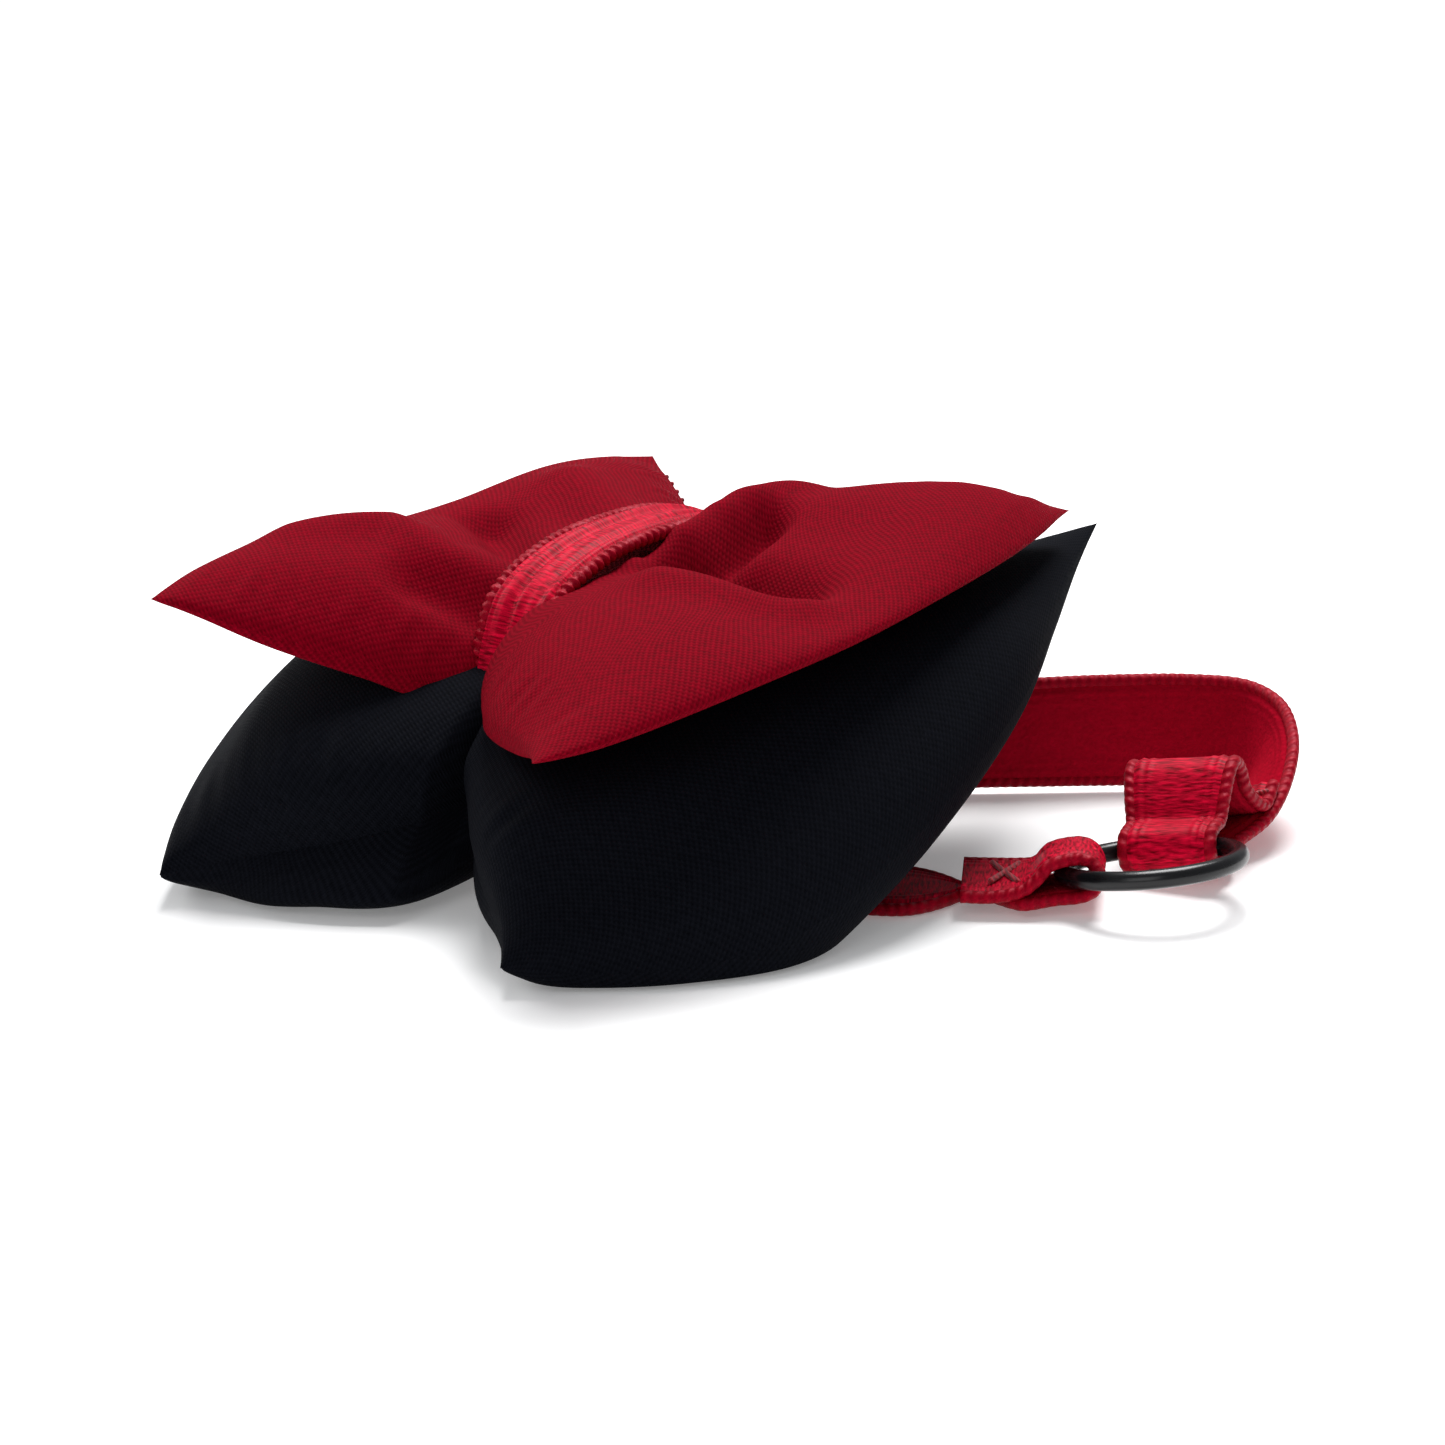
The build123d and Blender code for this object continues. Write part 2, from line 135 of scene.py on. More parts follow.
class Paint:
    """A new node material with one Principled shader, and a short way to add nodes to it."""

    def __init__(self, name, **shader_values):
        self.material = bpy.data.materials.new(name)
        self.material.use_nodes = True
        self.tree = self.material.node_tree
        self.shader = self.tree.nodes["Principled BSDF"]
        for socket, value in shader_values.items():
            self.shader.inputs[socket.replace("_", " ")].default_value = value

    def node(self, kind, settings, sockets, out=0):
        """A node of any kind: its settings first, then the value or link of each socket, and the output asked for."""
        made = self.tree.nodes.new(kind)
        for key, value in settings.items():
            setattr(made, key, value)
        for key, value in sockets.items():
            if isinstance(value, Wire):
                self.tree.links.new(value.socket, made.inputs[key])
            else:
                made.inputs[key].default_value = value
        return Wire(self, made.outputs[out])

    def feed(self, socket, wire):
        self.tree.links.new(wire.socket, self.shader.inputs[socket])

    def mix(self, factor, a, b):
        """Colour a where the factor is 0 and b where it is 1."""
        return self.node("ShaderNodeMix", {"data_type": "RGBA"}, {0: factor, 6: colour(a), 7: colour(b)}, out=2)

    def noise(self, where, scale, detail=2.0):
        return self.node("ShaderNodeTexNoise", {}, {"Vector": where, "Scale": scale, "Detail": detail})

    def bump(self, height, distance, strength=1.0):
        sockets = {"Height": height, "Distance": distance, "Strength": strength}
        self.feed("Normal", self.node("ShaderNodeBump", {}, sockets))

    def across(self):
        """The piece's own UV map, in metres: along the piece and across it."""
        uv = self.node("ShaderNodeUVMap", {"uv_map": "cloth"}, {})
        split = self.tree.nodes.new("ShaderNodeSeparateXYZ")
        self.tree.links.new(uv.socket, split.inputs[0])
        return uv, Wire(self, split.outputs[0]), Wire(self, split.outputs[1])

    def place(self):
        return self.node("ShaderNodeTexCoord", {}, {}, out="Object")


def colour(value):
    return value if isinstance(value, Wire) else (*value[:3], 1.0)


def scaled(rgb, by):
    return tuple(min(1.0, c * by) for c in rgb)


def suiting(name, rgb, pitch, lean, sheen):
    """Fine twill: diagonal ribs of the pitch, broken along their length into single yarns, a little slub from thread
    to thread, and a soft bloom over larger patches."""
    paint = Paint(name, Roughness=0.92, Sheen_Weight=sheen, Sheen_Roughness=0.55, Specular_IOR_Level=0.07)
    paint.shader.inputs["Sheen Tint"].default_value = (*scaled(rgb, 3.0), 1.0)
    paint.shader.inputs["Specular Tint"].default_value = (*scaled(rgb, 5.0), 1.0)
    uv, along, over = paint.across()
    turn = 2 * math.pi / pitch
    yarn_turn = turn * 0.9
    rib = (along * (turn * math.cos(lean)) + over * (turn * math.sin(lean))).sin()
    yarn = (along * (yarn_turn * math.sin(lean)) - over * (yarn_turn * math.cos(lean)) + rib * 0.9).sin()
    slub = paint.noise(uv, 0.55 / pitch, 3.0)
    weave = rib * 0.30 + yarn * 0.22 + 0.5
    bloom = paint.noise(paint.place(), 55.0, 3.0)
    tone = (weave * 0.65 + slub * 0.90 - 0.28).clamp()
    cloth = paint.mix(tone, scaled(rgb, 0.50), scaled(rgb, 1.55))
    paint.feed("Base Color", paint.mix((bloom - 0.35) * 0.5, cloth, scaled(rgb, 1.25)))
    paint.feed("Roughness", slub * 0.16 + 0.78)
    paint.bump(weave * 0.8 + slub * 0.5, 0.00010, 0.75)
    return paint.material


def satin(name, rgb):
    """Satin elastic: fine floats that lie on a slant across the strip, in broad soft bands. The floats' brightness and
    the bands of gloss are painted highlights in the colour; both also shape the bump.
    """
    paint = Paint(name, Roughness=0.50, Specular_IOR_Level=0.22)
    paint.shader.inputs["Specular Tint"].default_value = (1.0, 0.02, 0.08, 1.0)
    uv, along, over = paint.across()
    slant, stretch, band_pitch, band_slant = (0.0, 0.0, 0.5), (4200.0, 620.0, 1.0), 0.0031, 320.0
    slanted = paint.node("ShaderNodeMapping", {}, {"Vector": uv, "Rotation": slant, "Scale": stretch})
    floats = paint.noise(slanted, 1.0, 3.0)
    bands = (over * (2 * math.pi / band_pitch) + along * band_slant).sin()
    # Painted highlight: bright floats and soft bands of gloss lighten the colour.
    tone = (floats * 2.6 - 0.85 + bands * 0.06).clamp()
    paint.feed("Base Color", paint.mix(tone, scaled(rgb, 0.35), (rgb[0] * 2.2, rgb[1] * 4, rgb[2] * 3.2)))
    paint.feed("Roughness", floats * 0.20 + 0.40)
    paint.bump(floats + bands * 0.05, 0.00008, 0.7)
    return paint.material


def plush(name, rgb):
    """Brushed inner face: short matt pile in soft grains, with painted shade where the pile parts: random grains and
    clumps darken the colour.
    """
    paint = Paint(name, Roughness=0.95, Sheen_Weight=0.10, Sheen_Roughness=0.35, Specular_IOR_Level=0.03)
    paint.shader.inputs["Sheen Tint"].default_value = (*scaled(rgb, 2.2), 1.0)
    uv, *_ = paint.across()
    pile = paint.noise(uv, 2100.0, 4.0)
    clumps = paint.noise(uv, 620.0, 2.0)
    # Painted shade: low pile and clump noise darkens the colour where the pile parts.
    tone = (pile * 0.75 + clumps * 0.35).clamp()
    paint.feed("Base Color", paint.mix(tone, scaled(rgb, 0.50), scaled(rgb, 1.45)))
    paint.bump(pile + clumps * 0.6, 0.00020, 0.85)
    return paint.material


def edging(name, rgb):
    """Looped edge: twisted glossy yarn that winds round the cord, with painted shade in the colour between the turns.
    """
    paint = Paint(name, Roughness=0.6, Specular_IOR_Level=0.4)
    paint.shader.inputs["Specular Tint"].default_value = (1.0, 0.06, 0.16, 1.0)
    uv, along, over = paint.across()
    turn_pitch, cord_round = 0.00105, 0.0034
    turns = (along * (2 * math.pi / turn_pitch) + over * (2 * math.pi / cord_round)).sin()
    fibre = paint.noise(uv, 5200.0, 2.0)
    # Painted shade: the colour darkens between the turns of the yarn, with random fibre tone on top.
    tone = (turns * 0.16 + fibre * 0.60 + 0.25).clamp()
    paint.feed("Base Color", paint.mix(tone, scaled(rgb, 0.38), scaled(rgb, 1.12)))
    paint.feed("Roughness", fibre * 0.25 + 0.38)
    paint.bump(turns * 0.6 + fibre * 0.4, 0.00014, 0.8)
    return paint.material


def thread_paint(name, rgb):
    """Sewing thread: two plies that wind round each other."""
    paint = Paint(name, Roughness=0.6, Sheen_Weight=0.2, Specular_IOR_Level=0.4)
    diagonal = {"wave_type": "BANDS", "bands_direction": "DIAGONAL"}
    plies = paint.node("ShaderNodeTexWave", diagonal, {"Vector": paint.place(), "Scale": 900.0, "Distortion": 2.0})
    paint.feed("Base Color", paint.mix(plies, scaled(rgb, 0.5), scaled(rgb, 1.3)))
    paint.bump(plies, 0.00008, 0.7)
    return paint.material


def coating(name, rgb):
    """Nylon-coated wire: smooth and semi-gloss, with the faint orange-peel of a dipped coat and rubbed patches."""
    paint = Paint(name, Roughness=0.34, Specular_IOR_Level=0.30, Coat_Weight=0.12, Coat_Roughness=0.20)
    where = paint.place()
    peel = paint.noise(where, 900.0, 2.0)
    rubbed = paint.noise(where, 120.0, 3.0)
    paint.feed("Base Color", paint.mix((rubbed - 0.45) * 1.5, rgb, scaled(rgb, 2.6)))
    paint.feed("Roughness", rubbed * 0.22 + 0.16)
    paint.bump(peel, 0.00003, 0.5)
    return paint.material


def fluff(name, rgb):
    """Fibre filling: tangled matt strands."""
    paint = Paint(name, Roughness=0.95, Sheen_Weight=0.3)
    strands = paint.noise(paint.place(), 700.0, 5.0)
    paint.feed("Base Color", paint.mix(strands, scaled(rgb, 0.7), rgb))
    paint.bump(strands, 0.0006, 0.7)
    return paint.material


# ---- surfaces ----
def hermite(f, gap, start, end, start_slope, end_slope):
    """The cubic between two values with the slopes given at them, at the share f of the gap between them."""
    return ((2 * f**3 - 3 * f**2 + 1) * start + (f**3 - 2 * f**2 + f) * gap * start_slope
            + (3 * f**2 - 2 * f**3) * end + (f**3 - f**2) * gap * end_slope)


def smooth_path(points, per_span, closed=False):
    """A smooth curve through the points, of any number of columns: cubic Hermite spans whose tangents are the slope
    between the two neighbours, timed by the distance between points. Every span gets the same number of samples."""
    p = np.asarray(points, float)
    if closed:
        p = np.vstack([p[-1:], p, p[:2]])
    gap = np.linalg.norm(np.diff(p, axis=0), axis=1)
    time = np.concatenate([[0.0], np.cumsum(gap)])
    slope = np.empty_like(p)
    slope[1:-1] = (p[2:] - p[:-2]) / (time[2:] - time[:-2])[:, None]
    slope[0], slope[-1] = (p[1] - p[0]) / gap[0], (p[-1] - p[-2]) / gap[-1]
    first, last = (1, len(p) - 2) if closed else (0, len(p) - 1)
    spans = np.repeat(np.arange(first, last), per_span)
    f = np.tile(np.arange(per_span) / per_span, last - first)
    if not closed:
        spans, f = np.append(spans, last - 1), np.append(f, 1.0)
    return hermite(f[:, None], gap[spans][:, None], p[spans], p[spans + 1], slope[spans], slope[spans + 1])


def unit(v):
    return v / np.maximum(np.linalg.norm(v, axis=-1, keepdims=True), 1e-9)


def along_of(path, closed=False):
    """Unit tangents of a sampled path by central differences."""
    if closed:
        return unit(np.roll(path, -1, axis=0) - np.roll(path, 1, axis=0))
    return unit(np.gradient(path, axis=0))


def sheet_mesh(name, grids, materials, body):
    """One smooth mesh from several grids of points, riding on the body unless that is None. Each
    grid is (points, uv, material, closed_rows, closed_columns): its quads join neighbours in rows and columns, and a
    closed direction joins the last back to the first. The uv grid has one more row or column where the points close,
    so that the cloth map runs on over the join."""
    verts, faces, uvs, mats, start = [], [], [], [], 0
    for points, uv, material, closed_rows, closed_columns in grids:
        rows, columns = points.shape[:2]
        r = np.arange(rows if closed_rows else rows - 1)
        c = np.arange(columns if closed_columns else columns - 1)
        r, c = np.meshgrid(r, c, indexing="ij")
        r, c = r.ravel(), c.ravel()
        r2, c2 = (r + 1) % rows, (c + 1) % columns
        faces.append(start + np.stack([r * columns + c, r2 * columns + c, r2 * columns + c2, r * columns + c2], 1))
        uvs.append(np.stack([uv[r, c], uv[r + 1, c], uv[r + 1, c + 1], uv[r, c + 1]], 1).reshape(-1, 2))
        mats.append(np.full(len(r), material, np.int32))
        verts.append(points.reshape(-1, 3))
        start += rows * columns
    verts = (np.vstack(verts) + NECK_AT) * MM
    faces, uvs, mats = np.vstack(faces), np.vstack(uvs) * MM, np.concatenate(mats)
    mesh = bpy.data.meshes.new(name)
    mesh.vertices.add(len(verts))
    mesh.vertices.foreach_set("co", verts.astype(np.float32).ravel())
    mesh.loops.add(faces.size)
    mesh.loops.foreach_set("vertex_index", faces.astype(np.int32).ravel())
    mesh.polygons.add(len(faces))
    mesh.polygons.foreach_set("loop_start", np.arange(0, faces.size, 4, dtype=np.int32))
    mesh.polygons.foreach_set("material_index", mats)
    layer = mesh.uv_layers.new(name="cloth")
    layer.uv.foreach_set("vector", uvs.astype(np.float32).ravel())
    mesh.update(calc_edges=True)
    mesh.polygons.foreach_set("use_smooth", np.full(len(faces), True))
    work = bmesh.new()
    work.from_mesh(mesh)
    bmesh.ops.remove_doubles(work, verts=work.verts, dist=WELD)
    bmesh.ops.dissolve_degenerate(work, dist=SLIVER, edges=work.edges)
    bmesh.ops.recalc_face_normals(work, faces=work.faces)
    work.to_mesh(mesh)
    work.free()
    piece = bpy.data.objects.new(name, mesh)
    bpy.context.collection.objects.link(piece)
    for material in materials:
        mesh.materials.append(material)
    if body:
        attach(piece, body)
    return piece


def distance_map(points, closed_rows=False, closed_columns=False):
    """Cloth coordinates of a grid: the distance walked along its rows' direction and along its columns'."""
    p = points
    if closed_rows:
        p = np.concatenate([p, p[:1]], 0)
    if closed_columns:
        p = np.concatenate([p, p[:, :1]], 1)
    u = np.zeros(p.shape[:2])
    v = np.zeros(p.shape[:2])
    u[1:] = np.cumsum(np.linalg.norm(np.diff(p, axis=0), axis=2), 0)
    v[:, 1:] = np.cumsum(np.linalg.norm(np.diff(p, axis=1), axis=2), 1)
    u = u.mean(1, keepdims=True) * 0.7 + u * 0.3
    return np.stack([u, v - v[:, v.shape[1] // 2, None]], 2)


def step(x, low, high):
    """0 below low, 1 above high and a smooth rise between."""
    f = np.clip((x - low) / (high - low), 0, 1)
    return f * f * (3 - 2 * f)


def hump(x, middle, width):
    """1 at the middle, falling off to both sides as a bell."""
    return np.exp(-((x - middle) / width) ** 2)


def soft_floor(x, least):
    """x where it is above least; below that it sinks ever more slowly towards 0."""
    return np.where(x > least, x, least * np.exp(np.minimum(x, least) / least - 1))


def through_knots(knots, at):
    """Weights that carry values held at the knots to other places between them, by cubic Hermite spans."""
    knots, at = np.asarray(knots, float), np.asarray(at, float)
    i = np.clip(np.searchsorted(knots, at, side="right") - 1, 0, len(knots) - 2)
    held = np.eye(len(knots))
    slope = np.empty_like(held)
    slope[1:-1] = (held[2:] - held[:-2]) / (knots[2:] - knots[:-2])[:, None]
    slope[0], slope[-1] = (held[1] - held[0]) / (knots[1] - knots[0]), (held[-1] - held[-2]) / (knots[-1] - knots[-2])
    gap = (knots[i + 1] - knots[i])[:, None]
    f = (at[:, None] - knots[i][:, None]) / gap
    return hermite(f, gap, held[i], held[i + 1], slope[i], slope[i + 1])


class Table:
    """A smooth field over a lobe, from a few values: rows from the neck to the end, columns from front to back."""
    rows = (0.0, 0.15, 0.4, 0.7, 0.9, 1.0)
    columns = (0.0, 0.12, 0.28, 0.45, 0.62, 0.80, 0.92, 1.0)

    def __init__(self, *values):
        self.values = np.array(values, float)

    def __call__(self, r, t):
        return through_knots(self.rows, r) @ self.values @ through_knots(self.columns, t).T


NECK_SHARE = 0.08               # the part of a lobe, from its neck, that opens from the cinched neck line
LEAST_STAND = 0.7               # millimetres off the middle surface below which the top cloth levels out


class Lobe:
    """One lobe of a stuffed bow shape. Its surface runs over (r, t): r from 0 at the cinched neck to 1 at the folded
    end, t from 0 at the front side seam to 1 at the back one. A middle surface is carried by straight rays from the
    neck line to the curved line of the end, pushed forward beside the neck, and raised or pressed by a table of
    heights. The cloth stands off it by a second table, times a share that falls steeply to nothing at the seams and
    at the fold, and leans out past the front seam and back over the band."""

    def __init__(self, sign, neck, neck_arch, end, pushed, raised, top, bottom, blunt, lean, folds=()):
        self.sign, self.neck, self.neck_arch, self.end, self.pushed = sign, neck, neck_arch, np.array(end), pushed
        self.raised, self.top, self.bottom, self.blunt, self.lean, self.folds = raised, top, bottom, blunt, lean, folds

    def middle(self, r, t):
        (y0, z0), (y1, z1) = self.neck
        walked = np.concatenate([[0.0], np.cumsum(np.linalg.norm(np.diff(self.end, axis=0), axis=1))])
        end = through_knots(walked / walked[-1], t) @ self.end
        arch = self.neck_arch * (1 - (2 * t - 1) ** 2)
        neck = np.stack([np.full_like(t, 3.0), y0 + (y1 - y0) * t, z0 + (z1 - z0) * t + arch], 1)
        far = np.clip((r - NECK_SHARE) / (1 - NECK_SHARE), 0, 1)[:, None, None]
        out = neck + (end - neck) * far
        out[:, :, 0] *= self.sign * np.clip(r / NECK_SHARE, 0, 1)[:, None]
        beside = (np.clip(r / 0.16, 0, 1) * (1 - step(r, 0.25, 1.0)))[:, None] * (1 - step(t, 0.0, 0.5))[None, :]
        out[:, :, 0] -= self.sign * self.pushed[0] * beside
        out[:, :, 1] -= self.pushed[1] * beside
        out[:, :, 2] += self.raised(r, t)
        out[:, :, 2] += 0.6 * self.creased(out, r, t)
        return out

    def creased(self, middle, r, t):
        """The height of the rolls and creases: each follows a line in plan, and falls off to both sides of it."""
        total = np.zeros(middle.shape[:2])
        for height, width, *line in self.folds:
            line = np.array(line, float)
            nearest = np.full(middle.shape[:2], 1e9)
            for a, b in zip(line[:-1], line[1:]):
                f = np.clip(((middle[:, :, :2] - a) @ (b - a)) / ((b - a) @ (b - a)), 0, 1)[:, :, None]
                nearest = np.minimum(nearest, np.linalg.norm(middle[:, :, :2] - a - f * (b - a), axis=2))
            total += height * hump(nearest, 0.0, width)
        from_seams = np.sin(np.clip(t, 0, 1) * math.pi)[None, :] ** 0.3
        return total * step(r, 0.05, 0.14)[:, None] * np.clip(1 - r ** 8, 0, 1)[:, None] * from_seams

    def share(self, r, t):
        """How much of the full height the cloth keeps: steep at the seams and at the fold."""
        wall, front, back, end, soft = self.blunt
        over = 1 - np.abs(2 * t - 1) ** wall
        over = np.where(t < 0.5, over ** front, over ** back)
        return np.clip(1 - r ** end, 0, 1)[:, None] ** soft * over[None, :]

    def sides(self, r, t, wrinkles):
        """The top and bottom surfaces, the wrinkles added to the top."""
        middle, share = self.middle(r, t), self.share(r, t)
        over_band, top_front, bottom_front = self.lean
        overhang = through_knots(Table.columns, t) @ np.array(over_band)
        inward = -self.sign * hump(r, 0.12, 0.12)[:, None] * overhang[None, :]
        front = (1 - step(t, 0.0, 0.6))[None, :] * (1 - 0.7 * step(r, 0.5, 1.0))[:, None]
        top_lean = np.stack(np.broadcast_arrays(inward, -top_front * front, 1.0), 2)
        bottom_lean = np.stack(np.broadcast_arrays(inward * 0.5, -bottom_front * front, -1.0), 2)
        high = self.top(r, t) + 0.4 * self.creased(middle, r, t) + wrinkles
        high = soft_floor(high, LEAST_STAND)
        top = middle + (high * share)[:, :, None] * top_lean
        bottom = middle + (self.bottom(r, t) * share)[:, :, None] * bottom_lean
        return top, bottom


def both_sides(left, right, rows, columns, wrinkles, inset=0.0):
    """The top and bottom surfaces across both lobes, from the left end to the right one. Rows crowd towards the folded
    ends and columns towards the seams, where the cloth turns quickly. An inset draws both in from the seams, the ends
    and each other, and closes them at their rim, for what fills the cover."""
    k = np.linspace(0, 1, rows)
    r = (0.55 * k + 0.45 * np.sin(k * math.pi / 2)) * (1 - 0.15 * inset)
    k = np.linspace(0, 1, columns)
    t = 0.45 * k + 0.55 * (1 - np.cos(k * math.pi)) / 2
    t = 0.5 + (t - 0.5) * (1 - 0.2 * inset)
    out = []
    for lobe in (left, right):
        middle = lobe.middle(r, t)
        out.append([middle + (side - middle) * (1 - inset) for side in lobe.sides(r, t, wrinkles(lobe.sign * r, t))])
    top, bottom = [np.concatenate([x[::-1], y[1:]]) for x, y in zip(*out)]
    if inset:
        core = np.concatenate([left.middle(r, t)[::-1], right.middle(r, t)[1:]])
        for rim in (np.s_[0, :], np.s_[-1, :], np.s_[:, 0], np.s_[:, -1]):
            top[rim] = bottom[rim] = core[rim]
    return top, bottom


def puckers(s, t, depth, count, seed):
    """Small gathers beside the two side seams: uneven waves along the seam that die out within a few millimetres."""
    s, t = s[:, None], t[None, :]
    phase = np.random.default_rng(seed).uniform(0, 6.28, 6)
    wave = sum(np.sin(s * count * (0.6 + 0.27 * k) + phase[k]) for k in range(5)) / 3.2
    other = sum(np.sin(s * count * (0.7 + 0.23 * k) + phase[5 - k]) for k in range(5)) / 3.2
    return depth / MM * (wave * hump(t, 0.045, 0.035) + other * hump(t, 0.955, 0.035))


def gathers(s, t, depth, seed):
    """Fine pleats that fan out from the cinched neck: several waves across it, gone before half-way to the ends."""
    reach = 0.45
    phase = np.random.default_rng(seed).uniform(0, 6.28, 5)
    r = np.abs(s)[:, None]
    wander = t[None, :] + 0.015 * np.sin(r * 9 + phase[0])
    wave = (np.sin(wander * 31 + phase[1]) * 0.5 + np.sin(wander * 52 + phase[2] + r * 2.0) * 0.32
            + np.sin(wander * 83 + phase[3]) * 0.18)
    from_seams = np.sin(np.clip(t, 0, 1) * math.pi)[None, :] ** 0.4
    return depth * wave * np.clip(1 - r / reach, 0, 1) ** 1.5 * from_seams


# Tables in millimetres: RAISED bends the middle surface, TOP and BOTTOM are how far the cloth stands off it. BLUNT is
# the wall, front, back, end and softness of share(), and OVER is how far the cloth hangs over the band.
FLAT = Table(*np.zeros((6, 8)))
CUSHION_NECK = ((-18.4, 9.4), (17.8, 19.5))
CUSHION_TOP = Table(
    (6.5, 8.0, 10.0, 10.0, 8.5, 6.5, 5.5, 5.0),
    (8.5, 10.0, 12.0, 11.5, 9.0, 6.5, 5.0, 4.5),
    (11.0, 12.2, 13.0, 12.5, 10.0, 7.0, 5.5, 4.5),
    (13.0, 13.5, 13.5, 12.5, 10.0, 7.0, 5.0, 3.5),
    (9.5, 10.0, 11.0, 11.0, 9.5, 6.5, 4.5, 3.0),
    (9.0, 9.5, 10.5, 10.5, 9.0, 6.0, 4.0, 3.0))
CUSHION_LEFT_BOTTOM = Table(
    (5.0, 5.0, 5.0, 5.5, 5.5, 5.0, 4.5, 4.0),
    (9.5, 10.0, 10.5, 10.5, 10.0, 8.5, 7.0, 6.0),
    (8.5, 9.5, 11.0, 12.0, 12.0, 10.0, 7.5, 6.0),
    (7.0, 9.0, 12.0, 13.5, 14.0, 11.0, 7.0, 5.0),
    (6.5, 8.0, 10.0, 11.0, 11.0, 8.0, 5.0, 3.5),
    (6.5, 8.0, 9.5, 10.0, 9.5, 7.0, 4.5, 3.5))
CUSHION_RIGHT_BOTTOM = Table(
    (5.0, 5.0, 5.0, 5.5, 5.5, 5.0, 4.5, 4.0),
    (10.0, 10.5, 10.5, 9.5, 9.0, 8.0, 7.0, 6.0),
    (8.5, 9.5, 10.5, 10.4, 10.4, 9.5, 7.5, 5.5),
    (6.0, 8.0, 10.5, 11.4, 11.6, 9.5, 6.0, 4.5),
    (5.5, 8.0, 10.5, 9.5, 8.5, 6.5, 4.0, 3.0),
    (5.5, 8.0, 10.0, 9.0, 7.5, 5.5, 3.5, 3.0))
CUSHION_OVER = (0.35, 0.35, 0.30, 0.20, 0.20, 0.15, 0.15, 0.15)
CUSHION_BLUNT = (4.0, 0.36, 0.55, 6.0, 0.45)
CUSHION_LEFT = Lobe(-1, CUSHION_NECK, 0.0,
                    [(22.6, -43.4, 3.0), (27.6, -37.0, 3.6), (33.0, -28.4, 4.6), (37.2, -17.6, 7.0), (38.8, -5.0, 10.0),
                     (38.4, 7.0, 13.0), (36.0, 18.0, 16.5), (31.0, 29.0, 19.5), (26.0, 38.5, 21.5),
                     (21.6, 46.5, 22.6)],
                    (2.5, 7.2), FLAT, CUSHION_TOP, CUSHION_LEFT_BOTTOM, CUSHION_BLUNT, (CUSHION_OVER, 0.30, 1.05))
CUSHION_RIGHT = Lobe(1, CUSHION_NECK, 0.0,
                     [(20.3, -41.0, 2.6), (25.2, -36.2, 1.8), (31.4, -28.8, 1.9), (36.6, -18.8, 3.4), (38.7, -6.0, 8.8),
                      (38.0, 7.0, 14.5), (35.8, 18.0, 19.3), (31.0, 29.0, 23.3), (26.2, 39.0, 26.2),
                      (21.8, 48.4, 28.2)],
                     (1.5, 5.0), FLAT, CUSHION_TOP, CUSHION_RIGHT_BOTTOM, CUSHION_BLUNT, (CUSHION_OVER, 0.35, 0.20))

BOW_NECK = ((-17.0, 19.8), (16.4, 25.8))
BOW_LEFT_RAISED = Table(
    (0.0, 0.0, 0.0, 0.0, 0.0, 0.0, 0.0, 0.0),
    (-1.0, -0.3, 0.0, 0.0, 0.0, 0.0, 0.0, 0.0),
    (-0.5, 0.6, 0.5, 0.0, -0.4, 0.4, 0.8, 0.5),
    (-0.5, 1.0, 1.2, 0.2, -0.2, 0.8, 1.2, 0.5),
    (0.0, 0.8, 1.0, -0.4, -0.2, 0.8, 0.8, 0.0),
    (0.0, 0.3, 0.2, -0.6, -0.6, 0.5, 0.5, 0.0))
BOW_LEFT_TOP = Table(
    (2.0, 2.5, 2.5, 2.5, 2.0, 2.2, 2.2, 2.0),
    (3.0, 3.2, 3.0, 3.0, 2.6, 3.0, 3.0, 2.5),
    (4.0, 4.2, 3.4, 3.0, 2.6, 3.4, 3.2, 2.5),
    (4.5, 4.6, 3.6, 2.8, 2.6, 3.6, 3.2, 2.5),
    (4.0, 4.0, 3.2, 2.4, 2.4, 3.2, 2.8, 2.2),
    (3.5, 3.5, 3.0, 2.2, 2.2, 3.0, 2.6, 2.0))
BOW_RIGHT_BOTTOM = Table(
    (2.0, 2.2, 2.2, 2.0, 2.0, 2.0, 2.0, 2.0),
    (3.4, 3.4, 2.2, 2.0, 2.0, 2.5, 2.5, 2.0),
    (3.8, 3.8, 2.6, 2.4, 2.0, 2.6, 2.6, 2.0),
    (3.8, 3.8, 2.8, 2.4, 2.2, 2.6, 2.6, 2.0),
    (3.2, 3.2, 2.6, 2.4, 2.2, 2.6, 2.4, 2.0),
    (3.0, 3.0, 2.6, 2.4, 2.2, 2.6, 2.4, 2.0))
BOW_LEFT_BOTTOM = Table(
    (3.0, 3.0, 2.2, 2.0, 2.0, 2.0, 2.0, 2.0),
    (5.5, 5.0, 2.6, 2.0, 2.0, 2.5, 2.5, 2.0),
    (4.8, 4.4, 2.8, 2.4, 2.0, 2.6, 2.6, 2.0),
    (4.2, 4.0, 2.8, 2.4, 2.2, 2.6, 2.6, 2.0),
    (3.6, 3.4, 2.6, 2.4, 2.2, 2.6, 2.4, 2.0),
    (3.2, 3.0, 2.6, 2.4, 2.2, 2.6, 2.4, 2.0))
BOW_RIGHT_RAISED = Table(
    (0.0, 0.0, 0.0, 0.0, 0.0, 0.0, 0.0, 0.0),
    (0.0, 1.0, 1.0, 0.0, 0.5, 2.0, 3.4, 2.5),
    (-0.5, 1.0, 1.5, 0.5, 1.0, 3.4, 4.2, 2.5),
    (-0.5, 1.2, 1.2, 0.0, 1.2, 3.2, 4.0, 2.5),
    (0.0, 0.8, 0.6, 0.0, 1.0, 2.2, 2.4, 1.2),
    (0.0, 0.0, 0.0, 0.0, 0.3, 0.5, 0.5, 0.0))
